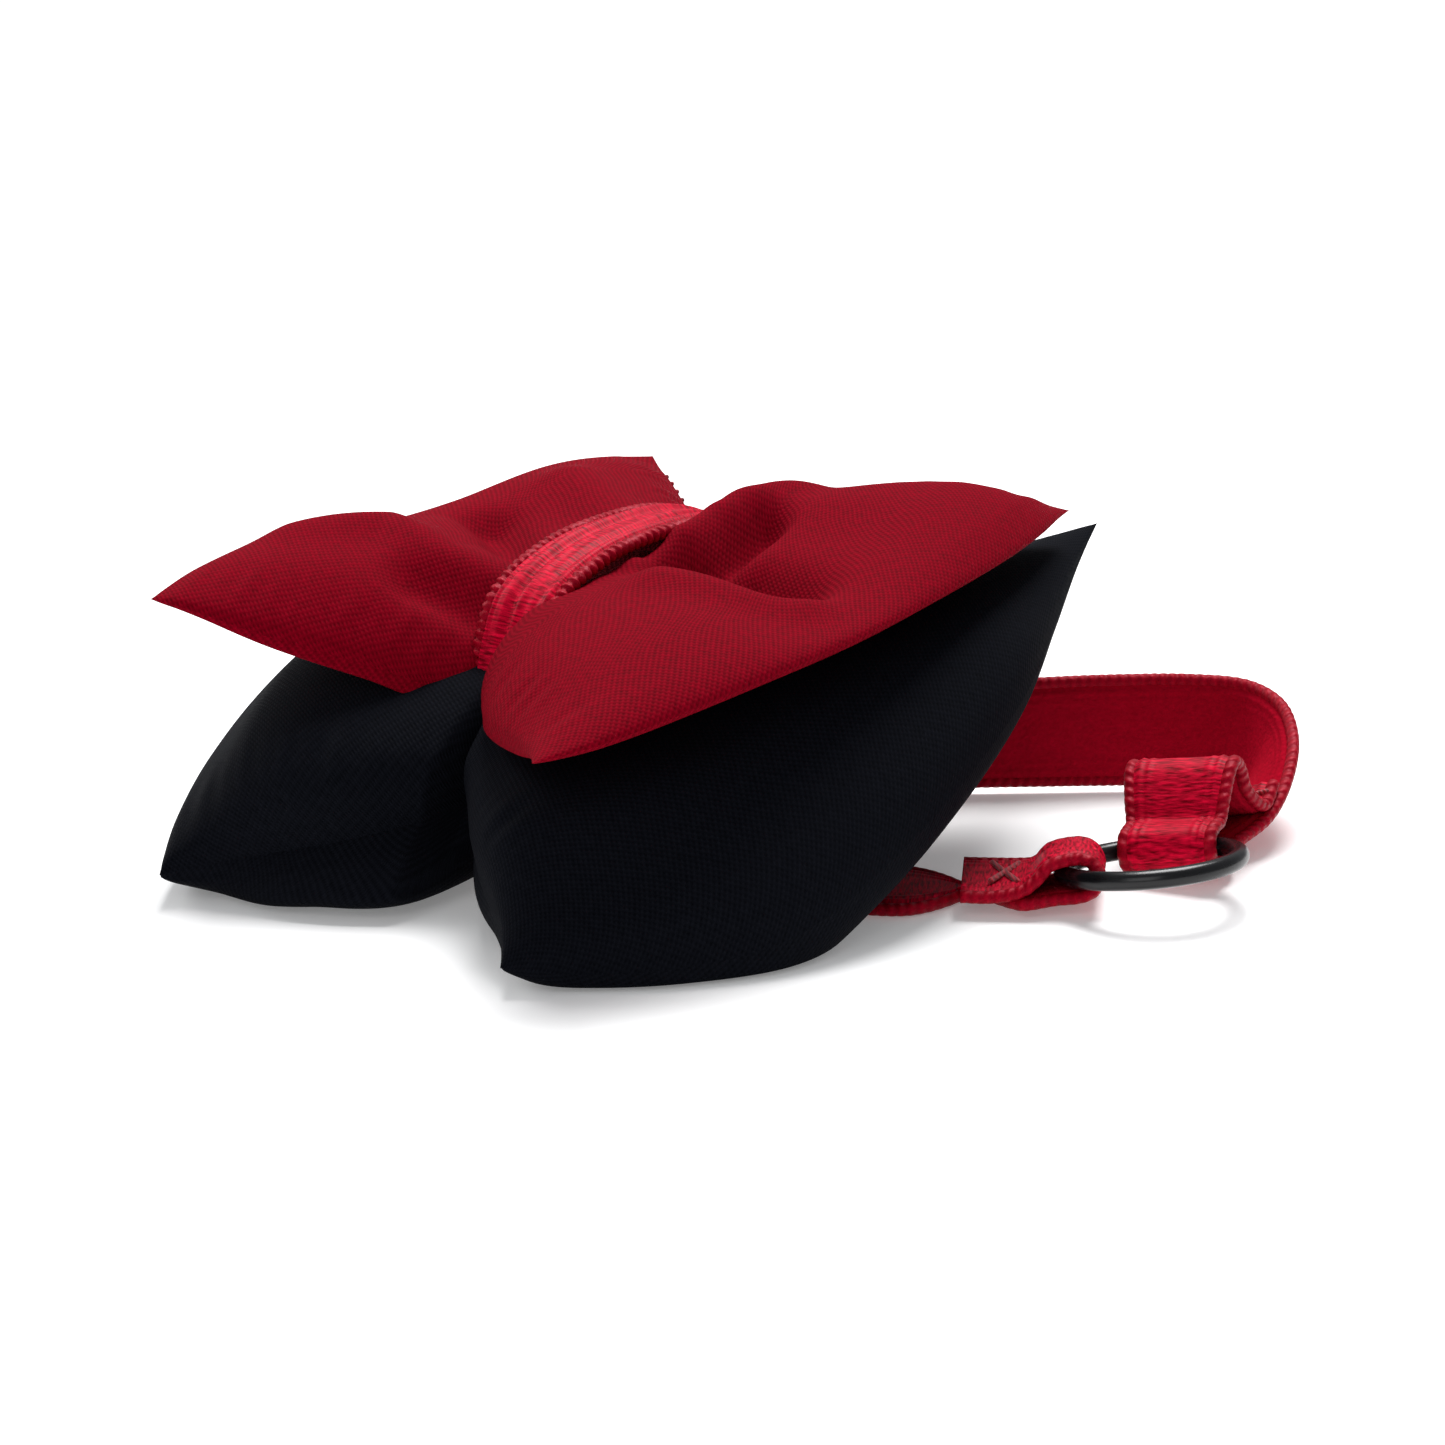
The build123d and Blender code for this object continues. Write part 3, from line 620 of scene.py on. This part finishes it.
BOW_RIGHT_TOP = Table(
    (2.0, 2.5, 3.0, 2.8, 2.4, 3.0, 2.4, 2.0),
    (4.0, 4.6, 4.0, 3.0, 3.0, 3.6, 3.2, 2.5),
    (4.6, 5.0, 4.4, 3.0, 3.0, 4.0, 3.8, 2.5),
    (4.0, 4.4, 3.8, 2.4, 2.8, 3.6, 3.6, 2.5),
    (3.5, 3.6, 3.2, 2.0, 2.6, 3.0, 3.0, 2.0),
    (3.5, 3.6, 3.2, 2.2, 2.6, 3.0, 3.0, 2.0))
# Rolls and creases: height or depth, width, and the line in plan that each one follows.
BOW_LEFT_FOLDS = [
    (1.8, 3.4, (-4.5, -12.0), (-12.0, -14.0), (-20.0, -13.5), (-25.0, -22.0)),
    (-3.2, 3.0, (-4.5, -5.5), (-12.0, -4.0), (-20.0, 1.0)),
    (1.4, 4.0, (-6.0, 7.0), (-20.0, 13.0)),
    (-2.6, 2.4, (-5.0, -15.0), (-11.0, -19.0)),
]
BOW_RIGHT_FOLDS = [
    (3.1, 2.5, (6.4, -4.5), (6.0, 5.0), (7.4, 19.0)),
    (-3.0, 1.9, (10.0, -2.5), (10.4, 8.5)),
    (1.6, 3.2, (12.5, -9.0), (16.0, -8.0), (21.0, -7.0), (26.0, -5.0)),
    (-3.4, 3.0, (8.5, -3.5), (15.5, -1.0), (22.0, -1.5)),
    (-1.4, 4.0, (17.0, -1.0), (20.0, -1.0)),
]
BOW_BLUNT = (3.0, 0.42, 0.50, 5.0, 0.50)
BOW_LEFT = Lobe(-1, BOW_NECK, 4.6,
                [(24.0, -42.0, 30.0), (27.0, -34.0, 30.0), (29.5, -22.0, 30.0), (30.8, -8.0, 29.8), (31.0, 6.0, 29.8),
                 (30.0, 18.0, 30.2), (28.6, 27.0, 30.6), (27.0, 33.8, 30.8)],
                (1.0, 1.5), BOW_LEFT_RAISED, BOW_LEFT_TOP, BOW_LEFT_BOTTOM, BOW_BLUNT,
                ((0.2, 0.2, 0.1, 0.1, 0.2, 0.4, 0.3, 0.2), 0.15, 0.60), BOW_LEFT_FOLDS)
BOW_RIGHT = Lobe(1, BOW_NECK, 4.6,
                 [(24.6, -41.0, 22.8), (28.0, -35.0, 24.0), (31.0, -24.0, 26.0), (32.8, -10.0, 28.0), (33.0, 4.0, 29.5),
                  (31.5, 18.0, 30.6), (28.5, 30.0, 31.2), (24.4, 39.8, 31.5)],
                 (2.8, 4.5), BOW_RIGHT_RAISED, BOW_RIGHT_TOP, BOW_RIGHT_BOTTOM, BOW_BLUNT,
                 ((0.3, 0.2, 0.1, 0.1, 0.2, 0.3, 0.3, 0.2), 0.3, 0.2), BOW_RIGHT_FOLDS)


def cushion_sides(settings, inset=0.0):
    """The lower cushion's top and bottom surfaces, pressed flat where they meet the table, with a soft edge."""
    def wrinkles(s, t):
        return gathers(s, t, 0.8, 3) + puckers(s, t, settings.pucker, 46, 5)

    top, bottom = both_sides(CUSHION_LEFT, CUSHION_RIGHT, 131, 131, wrinkles, inset)
    for side in (top, bottom):
        z = side[:, :, 2]
        side[:, :, 2] = 0.02 + soft_floor(z, 0.9)
    return top, bottom


def bow_sides(settings, inset=0.0):
    """The bow's top and bottom surfaces."""
    def wrinkles(s, t):
        return gathers(s, t, 0.5, 11) + puckers(s, t, settings.pucker, 52, 13)

    return both_sides(BOW_LEFT, BOW_RIGHT, 131, 141, wrinkles, inset)


def stuffed_piece(name, sides, material):
    """A cover panel from one side, or a closed filling from two sides that meet at their rims."""
    grids = [(side, distance_map(side), 0, False, False) for side in sides]
    return sheet_mesh(name, grids, [material], "cushion")


ROUND = np.linspace(0, 2 * math.pi, 13)[:-1]     # the angles of the points round a cord or a thread


def read_at(q, length, rows):
    """Rows of three numbers held at distances along a path, read at the distances q."""
    return np.stack([np.interp(q, length, rows[:, k]) for k in range(3)], 1)


def edge_cord(q, centre, side, up, radius, loops, pitch):
    """The cord along one edge, closed to a point at both ends. Its radius swells with every loop of the edge: loops is
    the share of the radius that comes and goes, and pitch is the distance from loop to loop."""
    loop = np.abs(np.sin(q * math.pi / pitch))[:, None]
    radius_out = radius * (1.0 - loops + 1.8 * loops * loop)
    radius_up = radius * (0.92 - 0.5 * loops + loops * loop)
    cord = (centre[:, None] + side[:, None] * (np.cos(ROUND)[None, :, None] * radius_out[:, :, None])
            + up[:, None] * (np.sin(ROUND)[None, :, None] * radius_up[:, :, None]))
    first, last = (np.repeat(row.mean(1, keepdims=True), len(ROUND), 1) for row in (cord[:1], cord[-1:]))
    u = np.concatenate([q[:1], q, q[-1:]])
    uv = np.stack(np.meshgrid(u, np.append(ROUND, 2 * math.pi) * radius, indexing="ij"), 2)
    return np.concatenate([first, cord, last], 0), uv, 2, False, True


def elastic_grids(edges, settings, closed=False, gather=0.0, loops=0.05):
    """An elastic strip. edges are rows of six numbers, the two edges of its width in turn. Its section is a flat bar
    with round shoulders and two raised lines near each edge; its outer and inner faces take different materials, and
    a cord runs along each edge. A gather ripples the whole section across its width."""
    path = smooth_path(edges, 14, closed)
    a, b = path[:, :3], path[:, 3:]
    middle = (a + b) / 2
    tangent = along_of(middle, closed)
    across = unit(b - a)
    off = unit(np.cross(across, tangent))
    width = np.linalg.norm(b - a, axis=1, keepdims=True)
    length = np.concatenate([[0.0], np.cumsum(np.linalg.norm(np.diff(middle, axis=0), axis=1))])
    half_t = settings.thickness / MM / 2
    cord = settings.edge_radius / MM
    c = np.linspace(-1, 1, 41)
    reach = width / 2 - cord
    waves = np.sin(c * 9.0 + 0.6)[None, :] * 0.6 + np.sin(c * 15.0 + length[:, None] * 0.11) * 0.4
    ripple = gather * waves * (1 - c[None, :] ** 4)
    border = 0.20 * hump(np.abs(c), 0.80, 0.06) + 0.12 * hump(np.abs(c), 0.62, 0.05)
    crown = (half_t * (1 - 0.35 * c ** 6) + border)[None, :]
    faces = []
    for sign, material in ((1, 0), (-1, 1)):
        high = sign * crown + ripple
        points = (middle[:, None] + across[:, None] * (c[None, :, None] * reach[:, None])
                  + off[:, None] * high[:, :, None])
        uv = np.stack([np.repeat(length[:, None], len(c), 1), c[None, :] * reach], 2)
        if closed:
            once_round = length[-1] - length[0] + np.linalg.norm(middle[0] - middle[-1])
            uv = np.concatenate([uv, uv[:1] + np.array([once_round, 0.0])], 0)
        faces.append((points, uv, material, closed, False))
    q = np.linspace(0, length[-1], max(2, int(round(length[-1] / 0.16))))
    up = unit(read_at(q, length, off))
    cords = []
    for edge in (-1, 1):
        centre = read_at(q, length, middle + across * (edge * (width / 2 - cord * 0.9)))
        side = unit(read_at(q, length, across)) * edge
        cords.append(edge_cord(q, centre, side, up, cord, loops, settings.picot_pitch / MM))
    if closed:
        return faces + cords
    no_map = np.zeros((2, len(c), 2))
    return faces + cords + [(np.stack([faces[0][0][k], faces[1][0][k]]), no_map, 0, False, False) for k in (0, -1)]


def stitch_grid(a, b):
    """One short length of thread between two points, round at both ends."""
    radius = 0.26
    along = unit(b - a)
    side = unit(np.cross(along, np.array([0.0, 1.0, 0.2])))
    other = np.cross(along, side)
    k = np.linspace(0, math.pi, 13)
    reach = np.linalg.norm(b - a) / 2
    out = side * np.cos(ROUND)[:, None] + other * np.sin(ROUND)[:, None]
    points = ((a + b) / 2 - along * (np.sign(np.cos(k)) * reach + np.cos(k) * radius)[:, None, None]
              + out[None] * (np.sin(k) * radius)[:, None, None])
    return points, distance_map(points, False, True), 0, False, True


def pair(a, b):
    """One row of edges: the points on the two edges of a strip."""
    return [*a, *b]


# ---- the ring and where the straps fold round it ----
RING_CENTRE = np.array([49.7, 19.5, 4.0])
RING_U = unit(np.array([0.80, 0.59, 0.12]))
RING_V = np.array([-0.63, 0.75, -0.13])
RING_V = unit(RING_V - RING_U * (RING_V @ RING_U))
RING_AXIS = np.cross(RING_U, RING_V)
RING_R, WIRE_R = 8.55, 0.95
BUNCHED = 5.0                   # half the width of the elastic where it is bunched in the ring
FOLD_R = 1.86                   # radius of the fold round the wire, to the middle of the elastic
FOLD_OUT = math.sqrt(RING_R ** 2 - BUNCHED ** 2)
LOW = 0.62                      # height of the middle of elastic that lies flat on the table
DOUBLED = LOW + 1.32            # and of elastic that lies on top of that


def at_ring(angle, out, up, half=BUNCHED, floor=None):
    """A pair of edges at a fold round the ring: at an angle round it, a distance out from its centre and a height
    above its plane. A floor keeps the pair off the table."""
    radial = RING_U * math.cos(math.radians(angle)) + RING_V * math.sin(math.radians(angle))
    side = RING_U * math.sin(math.radians(angle)) - RING_V * math.cos(math.radians(angle))
    middle = RING_CENTRE + radial * out + RING_AXIS * up
    a, b = middle - side * half, middle + side * half
    if floor is not None:
        a[2], b[2] = max(a[2], floor), max(b[2], floor)
    return pair(a, b)


def round_wire(angle):
    """The half turn of a fold round the wire, from below it to above it."""
    turns = [math.radians(k) for k in (-90, -45, 0, 45, 90)]
    return [at_ring(angle, FOLD_OUT - FOLD_R * math.cos(turn), FOLD_R * math.sin(turn)) for turn in turns]


def short_strap_edges():
    """From under the band's front, over on a slant, flat along the table, round the ring and back on itself."""
    point, line, away = np.array([0, -16.6, 0]), np.array([0.888, -0.460, 0]), np.array([-0.460, -0.888, 0])
    run, run_side = np.array([0.812, 0.583, 0]), np.array([0.583, -0.812, 0])
    before_roll = 2.9
    roll = (before_roll - LOW) / 2
    edges = [pair((-4.5, -3.2, 5.35), (4.5, -3.2, 5.35)), pair((-4.5, -8.0, 4.32), (4.5, -8.0, 4.32)),
             pair((-5.6, -12.3, 3.25), (5.5, -15.4, 3.1))]
    for k in (0, 60, 120, 180):
        turn = math.radians(k)
        middle = point + away * (roll * math.sin(turn)) + np.array([0, 0, LOW + roll * (1 + math.cos(turn))])
        edges.append(pair(middle - line * 6.7, middle + line * 6.7))
    for far in (9.0, 20.0, 30.0, 39.0):
        middle = point + run * far + np.array([0, 0, LOW])
        edges.append(pair(middle - run_side * 6, middle + run_side * 6))
    edges += [at_ring(180, 13.0, -1.9, 5.8, LOW), at_ring(180, 9.2, -1.9, 5.1, LOW)]
    edges += round_wire(180)
    edges += [at_ring(180, 9.6, 1.5, 5.2), at_ring(180, 11.0, 0.3, 5.6), at_ring(180, 12.6, -0.7, 5.9, DOUBLED),
              at_ring(180, 15.5, -1.9, 5.9, DOUBLED), at_ring(180, 18.6, -1.9, 5.9, DOUBLED)]
    return np.array(edges)


def lifted_pair(edges, i, by):
    """Row i of the edges, moved off the strip's face."""
    before, after, here = (np.array(edges[k]) for k in (i - 1, i + 1, i))
    tangent = (after[:3] + after[3:] - before[:3] - before[3:]) / 2
    off = unit(np.cross(here[3:] - here[:3], tangent)) * by
    return here + np.concatenate([off, off])


def long_strap_edges():
    """From under the band's back, twisting to stand on edge, round the far turn, rolling over and under the ring's
    far side, up through the ring and back to where its end is sewn down."""
    edges = [
        pair((-4.5, 3.0, 6.95), (4.5, 3.0, 6.95)), pair((-4.5, 11.6, 9.45), (4.5, 11.6, 9.45)),
        pair((-4.8, 18.5, 11.75), (4.8, 18.5, 11.75)), pair((-4.6, 21.2, 10.4), (5.0, 21.0, 13.4)),
        pair((-2.8, 24.8, 6.4), (6.0, 24.6, 13.7)), pair((1.0, 28.3, 2.9), (8.2, 28.3, 12.5)),
        pair((6.2, 31.4, 0.8), (11.2, 32.4, 11.7)), pair((12.6, 35.8, 0.6), (15.3, 37.6, 12.1)),
        pair((18.6, 41.2, 0.6), (19.6, 42.2, 12.4)), pair((24.3, 46.6, 0.6), (25.0, 47.9, 12.5)),
        pair((30.0, 51.6, 0.6), (30.8, 53.5, 12.4)), pair((34.8, 53.4, 0.6), (36.0, 56.3, 12.1)),
        pair((38.6, 51.6, 0.6), (41.4, 54.6, 11.3)), pair((40.2, 47.4, 0.7), (46.0, 50.3, 9.2)),
        pair((40.0, 42.2, 0.8), (48.9, 45.0, 6.3)), pair((39.4, 37.2, 0.8), (50.0, 40.2, 3.8)),
        pair((39.2, 30.9, 0.7), (49.9, 34.4, 2.2)),
    ]
    tail = [lifted_pair(edges, 15, -1.35), lifted_pair(edges, 14, -1.35)]
    edges.append(at_ring(72, 10.6, -1.9, 5.2, LOW))
    edges += round_wire(72)
    edges += [at_ring(72, 8.8, 2.2, 5.1), at_ring(72, 10.0, 4.3, 5.4), at_ring(72, 11.6, 6.6, 5.7),
              at_ring(72, 13.3, 7.3, 5.8), at_ring(72, 14.9, 6.2, 5.8), at_ring(72, 16.2, 3.9, 5.8)]
    edges += [tail[0], tail[0] * 0.38 + tail[1] * 0.62]
    return np.array(edges)


# The inside of the band, as (y, z) from its front over the bow and back under the cushion.
BAND_LOOP = [(-19.0, 12.0), (-18.4, 18.5), (-17.2, 24.0), (-14.8, 28.6), (-8.0, 31.7), (0.0, 32.7), (8.0, 32.4),
             (14.6, 30.0), (17.6, 26.0), (18.7, 20.0), (17.0, 15.2), (12.0, 11.7), (0.0, 8.1), (-12.0, 5.6),
             (-17.4, 7.0)]
BAND_HALF_WIDTH = 4.5

# Hand-closed seams: the node, its lobe, how many stitches, the material and its slot.
CLOSED_SEAMS = (("cushion_closing_stitches", CUSHION_LEFT, 8, "Black thread", "black_thread"),
                ("bow_closing_stitches", BOW_LEFT, 7, "Crimson thread", "red_thread"))

# Lamps, in metres and watts: name, place, size and power.
LAMPS = (("Overhead", (-0.12, 0.28, 0.75), 0.45, 9.5),
         ("Front fill", (0.30, -0.75, 0.45), 0.60, 1.8),
         ("Side", (-0.70, -0.10, 0.45), 0.40, 2.0))


# ---- operators ----
def paints():
    """Every material, made once from the settings."""
    scene = bpy.context.scene
    cushion, bow, elastic = scene.cushion_settings, scene.bow_settings, scene.elastic_settings
    made = {}

    def once(name, maker, *values):
        made[name] = bpy.data.materials.get(name) or maker(name, *values)

    once("Black twill top", suiting, cushion.cover_colour, cushion.twill_pitch, 0.95, 0.02)
    once("Black twill under", suiting, cushion.cover_colour, cushion.twill_pitch, -0.60, 0.02)
    once("Crimson twill top", suiting, bow.cover_colour, cushion.twill_pitch, 0.80, 0.0)
    once("Crimson twill under", suiting, bow.cover_colour, cushion.twill_pitch, -0.70, 0.0)
    once("Satin face", satin, elastic.satin_colour)
    once("Plush face", plush, elastic.plush_colour)
    once("Looped edge", edging, elastic.satin_colour)
    once("Ring coating", coating, scene.ring_settings.coat_colour)
    once("Crimson thread", thread_paint, elastic.plush_colour)
    once("Black thread", thread_paint, cushion.cover_colour)
    once("Fibre filling", fluff, (0.80, 0.79, 0.76))
    return made


class PINCUSHION_OT_cushion(bpy.types.Operator):
    """The stuffed lower cushion: its filling and its top and bottom panels"""
    bl_idname = "pincushion.cushion"
    bl_label = "Lower cushion"

    def execute(self, context):
        made, settings = paints(), context.scene.cushion_settings
        top, bottom = cushion_sides(settings)
        upper = stuffed_piece("cushion_cover_top", [top], made["Black twill top"])
        lower = stuffed_piece("cushion_cover_bottom", [bottom], made["Black twill under"])
        core = cushion_sides(settings, inset=0.20)
        inside = stuffed_piece("cushion_fibre", core, made["Fibre filling"])
        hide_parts("cushion_top_panel")
        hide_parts("cushion_bottom_panel")
        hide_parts("cushion_filling")
        return {"FINISHED"}


class PINCUSHION_OT_bow(bpy.types.Operator):
    """The padded bow: its wadding and its top and bottom panels"""
    bl_idname = "pincushion.bow"
    bl_label = "Bow"

    def execute(self, context):
        made, settings = paints(), context.scene.bow_settings
        top, bottom = bow_sides(settings)
        upper = stuffed_piece("bow_cover_top", [top], made["Crimson twill top"])
        lower = stuffed_piece("bow_cover_bottom", [bottom], made["Crimson twill under"])
        core = bow_sides(settings, inset=0.25)
        inside = stuffed_piece("bow_fibre", core, made["Fibre filling"])
        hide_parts("bow_top_panel")
        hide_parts("bow_bottom_panel")
        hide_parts("bow_wadding")
        return {"FINISHED"}


class PINCUSHION_OT_band(bpy.types.Operator):
    """The satin band that cinches the bow to the cushion"""
    bl_idname = "pincushion.band"
    bl_label = "Cinch band"

    def execute(self, context):
        made, settings = paints(), context.scene.elastic_settings
        loop = np.array(BAND_LOOP)
        nearby = np.roll(loop, -1, 0) - np.roll(loop, 1, 0)
        outward = unit(np.stack([-nearby[:, 1], nearby[:, 0]], 1))
        loop = loop + outward * 0.5
        edges = np.array([pair((-BAND_HALF_WIDTH, y, z), (BAND_HALF_WIDTH, y, z)) for y, z in loop])
        grids = elastic_grids(edges, settings, closed=True, gather=0.28, loops=0.34)
        skins = [made["Satin face"], made["Plush face"], made["Looped edge"]]
        band = sheet_mesh("band_elastic", grids, skins, "cushion")
        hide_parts("cinch_band")
        return {"FINISHED"}


class PINCUSHION_OT_straps(bpy.types.Operator):
    """The two elastic straps of the wrist loop, each from its sewn end to its fold round the ring"""
    bl_idname = "pincushion.straps"
    bl_label = "Wrist loop"

    def execute(self, context):
        made, settings = paints(), context.scene.elastic_settings
        skins = [made["Satin face"], made["Plush face"], made["Looped edge"]]
        short_grids = elastic_grids(short_strap_edges(), settings)
        long_grids = elastic_grids(long_strap_edges(), settings)
        short = sheet_mesh("short_elastic", short_grids, skins, None)
        long = sheet_mesh("long_elastic", long_grids, skins, None)
        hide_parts("ring_strap", "ring_strap_sewn_end")
        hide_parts("wrist_strap", "wrist_strap_sewn_end")
        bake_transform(short)
        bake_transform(long)
        return {"FINISHED"}


class PINCUSHION_OT_ring(bpy.types.Operator):
    """The coated ring that joins the two straps"""
    bl_idname = "pincushion.ring"
    bl_label = "Ring"

    def execute(self, context):
        around = np.linspace(0, 2 * math.pi, 161)[:-1]
        wire = np.linspace(0, 2 * math.pi, 33)[:-1]
        a, w = np.meshgrid(around, wire, indexing="ij")
        outward = np.cos(a)[:, :, None] * RING_U + np.sin(a)[:, :, None] * RING_V
        points = (RING_CENTRE + (RING_R + WIRE_R * np.cos(w))[:, :, None] * outward
                  + (WIRE_R * np.sin(w))[:, :, None] * RING_AXIS)
        grids = [(points, distance_map(points, True, True), 0, True, True)]
        ring = sheet_mesh("ring_wire", grids, [paints()["Ring coating"]], "ring")
        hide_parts("strap_ring")
        return {"FINISHED"}


class PINCUSHION_OT_stitches(bpy.types.Operator):
    """The hand stitches that close the two back-left seams, and thread colours for the other stitches"""
    bl_idname = "pincushion.stitches"
    bl_label = "Stitches"

    def execute(self, context):
        made = paints()
        for node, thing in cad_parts.items():
            if node.endswith("stitches") or node.endswith("tack"):
                thing.data.materials.clear()
                thing.data.materials.append(made["Black thread" if node.startswith("cushion") else "Crimson thread"])
        for node, lobe, count, skin, slot_name in CLOSED_SEAMS:
            seam = lobe.middle(np.linspace(0.34, 0.78, count), np.array([0.995]))[:, 0]
            grids = [stitch_grid(at + np.array([0.2, 0.1, 0.1]), at + np.array([-0.3, -0.5, -1.3])) for at in seam]
            sewn = sheet_mesh(node.replace("_stitches", "_thread"), grids, [made[skin]], "cushion")
            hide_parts(node)
        return {"FINISHED"}


class PINCUSHION_OT_stage(bpy.types.Operator):
    """The table, the light and the camera"""
    bl_idname = "pincushion.stage"
    bl_label = "Stage"

    def execute(self, context):
        settings = context.scene.stage_settings
        mesh = bpy.data.meshes.new("table_top")
        half, below = 3, -0.0002
        corners = [(-half, -half, below), (half, -half, below), (half, half, below), (-half, half, below)]
        mesh.from_pydata(corners, [], [(0, 1, 2, 3)])
        floor = bpy.data.objects.new("table_top", mesh)
        context.collection.objects.link(floor)
        paint = Paint("Pale table", Base_Color=(0.90, 0.90, 0.90, 1.0), Roughness=0.9, Specular_IOR_Level=0.1,
                      Emission_Color=(1.0, 1.0, 1.0, 1.0), Emission_Strength=0.18)
        mesh.materials.append(paint.material)

        world = bpy.data.worlds.new("Studio")
        context.scene.world = world
        world.use_nodes = True
        nodes, links = world.node_tree.nodes, world.node_tree.links
        back = nodes["Background"]
        back.inputs[0].default_value = (0.93, 0.96, 1.0, 1.0)
        back.inputs[1].default_value = 0.30
        white = nodes.new("ShaderNodeBackground")
        white.inputs[1].default_value = 1.0
        rays, mixer = nodes.new("ShaderNodeLightPath"), nodes.new("ShaderNodeMixShader")
        links.new(rays.outputs["Is Camera Ray"], mixer.inputs[0])
        links.new(back.outputs[0], mixer.inputs[1])
        links.new(white.outputs[0], mixer.inputs[2])
        links.new(mixer.outputs[0], nodes["World Output"].inputs[0])

        middle_of_view = np.array([6.84, 5.85, 13.1])
        centre = Vector((NECK_AT + middle_of_view) * MM)
        for name, where, size, power in LAMPS:
            data = bpy.data.lights.new(name, "AREA")
            data.size, data.energy = size, power
            lamp = bpy.data.objects.new(name, data)
            lamp.location = where
            lamp.rotation_euler = (centre - Vector(where)).to_track_quat("-Z", "Y").to_euler()
            context.collection.objects.link(lamp)

        az, el = settings.azimuth, settings.elevation
        view = Vector((-math.sin(az) * math.cos(el), math.cos(az) * math.cos(el), -math.sin(el)))
        data = bpy.data.cameras.new("Camera")
        data.lens, data.sensor_width, data.clip_start = settings.lens, 36.0, 0.01
        camera = bpy.data.objects.new("Camera", data)
        camera.location = centre - view * settings.distance
        camera.rotation_euler = view.to_track_quat("-Z", "Y").to_euler()
        context.collection.objects.link(camera)
        context.scene.camera = camera
        context.scene.view_settings.view_transform = "Standard"
        return {"FINISHED"}


class PINCUSHION_PT_panel(bpy.types.Panel):
    """The pieces of the pin cushion"""
    bl_label = "Pin cushion"
    bl_idname = "PINCUSHION_PT_panel"
    bl_space_type = "VIEW_3D"
    bl_region_type = "UI"
    bl_category = "Pin cushion"

    def draw(self, context):
        for operator in OPERATORS:
            self.layout.operator(operator.bl_idname)


OPERATORS = (PINCUSHION_OT_cushion, PINCUSHION_OT_bow, PINCUSHION_OT_band, PINCUSHION_OT_straps, PINCUSHION_OT_ring,
             PINCUSHION_OT_stitches, PINCUSHION_OT_stage)
GROUPS = {"cushion_settings": CushionSettings, "bow_settings": BowSettings, "elastic_settings": ElasticSettings,
          "ring_settings": RingSettings, "stage_settings": StageSettings}


def register():
    for name, group in GROUPS.items():
        bpy.utils.register_class(group)
        setattr(bpy.types.Scene, name, bpy.props.PointerProperty(type=group))
    for part in (*OPERATORS, PINCUSHION_PT_panel):
        bpy.utils.register_class(part)


def unregister():
    for part in reversed((*OPERATORS, PINCUSHION_PT_panel)):
        bpy.utils.unregister_class(part)
    for name, group in GROUPS.items():
        delattr(bpy.types.Scene, name)
        bpy.utils.unregister_class(group)


def main():
    register()
    for operator in OPERATORS:
        family, name = operator.bl_idname.split(".")
        getattr(getattr(bpy.ops, family), name)()


if __name__ == "__main__":
    main()
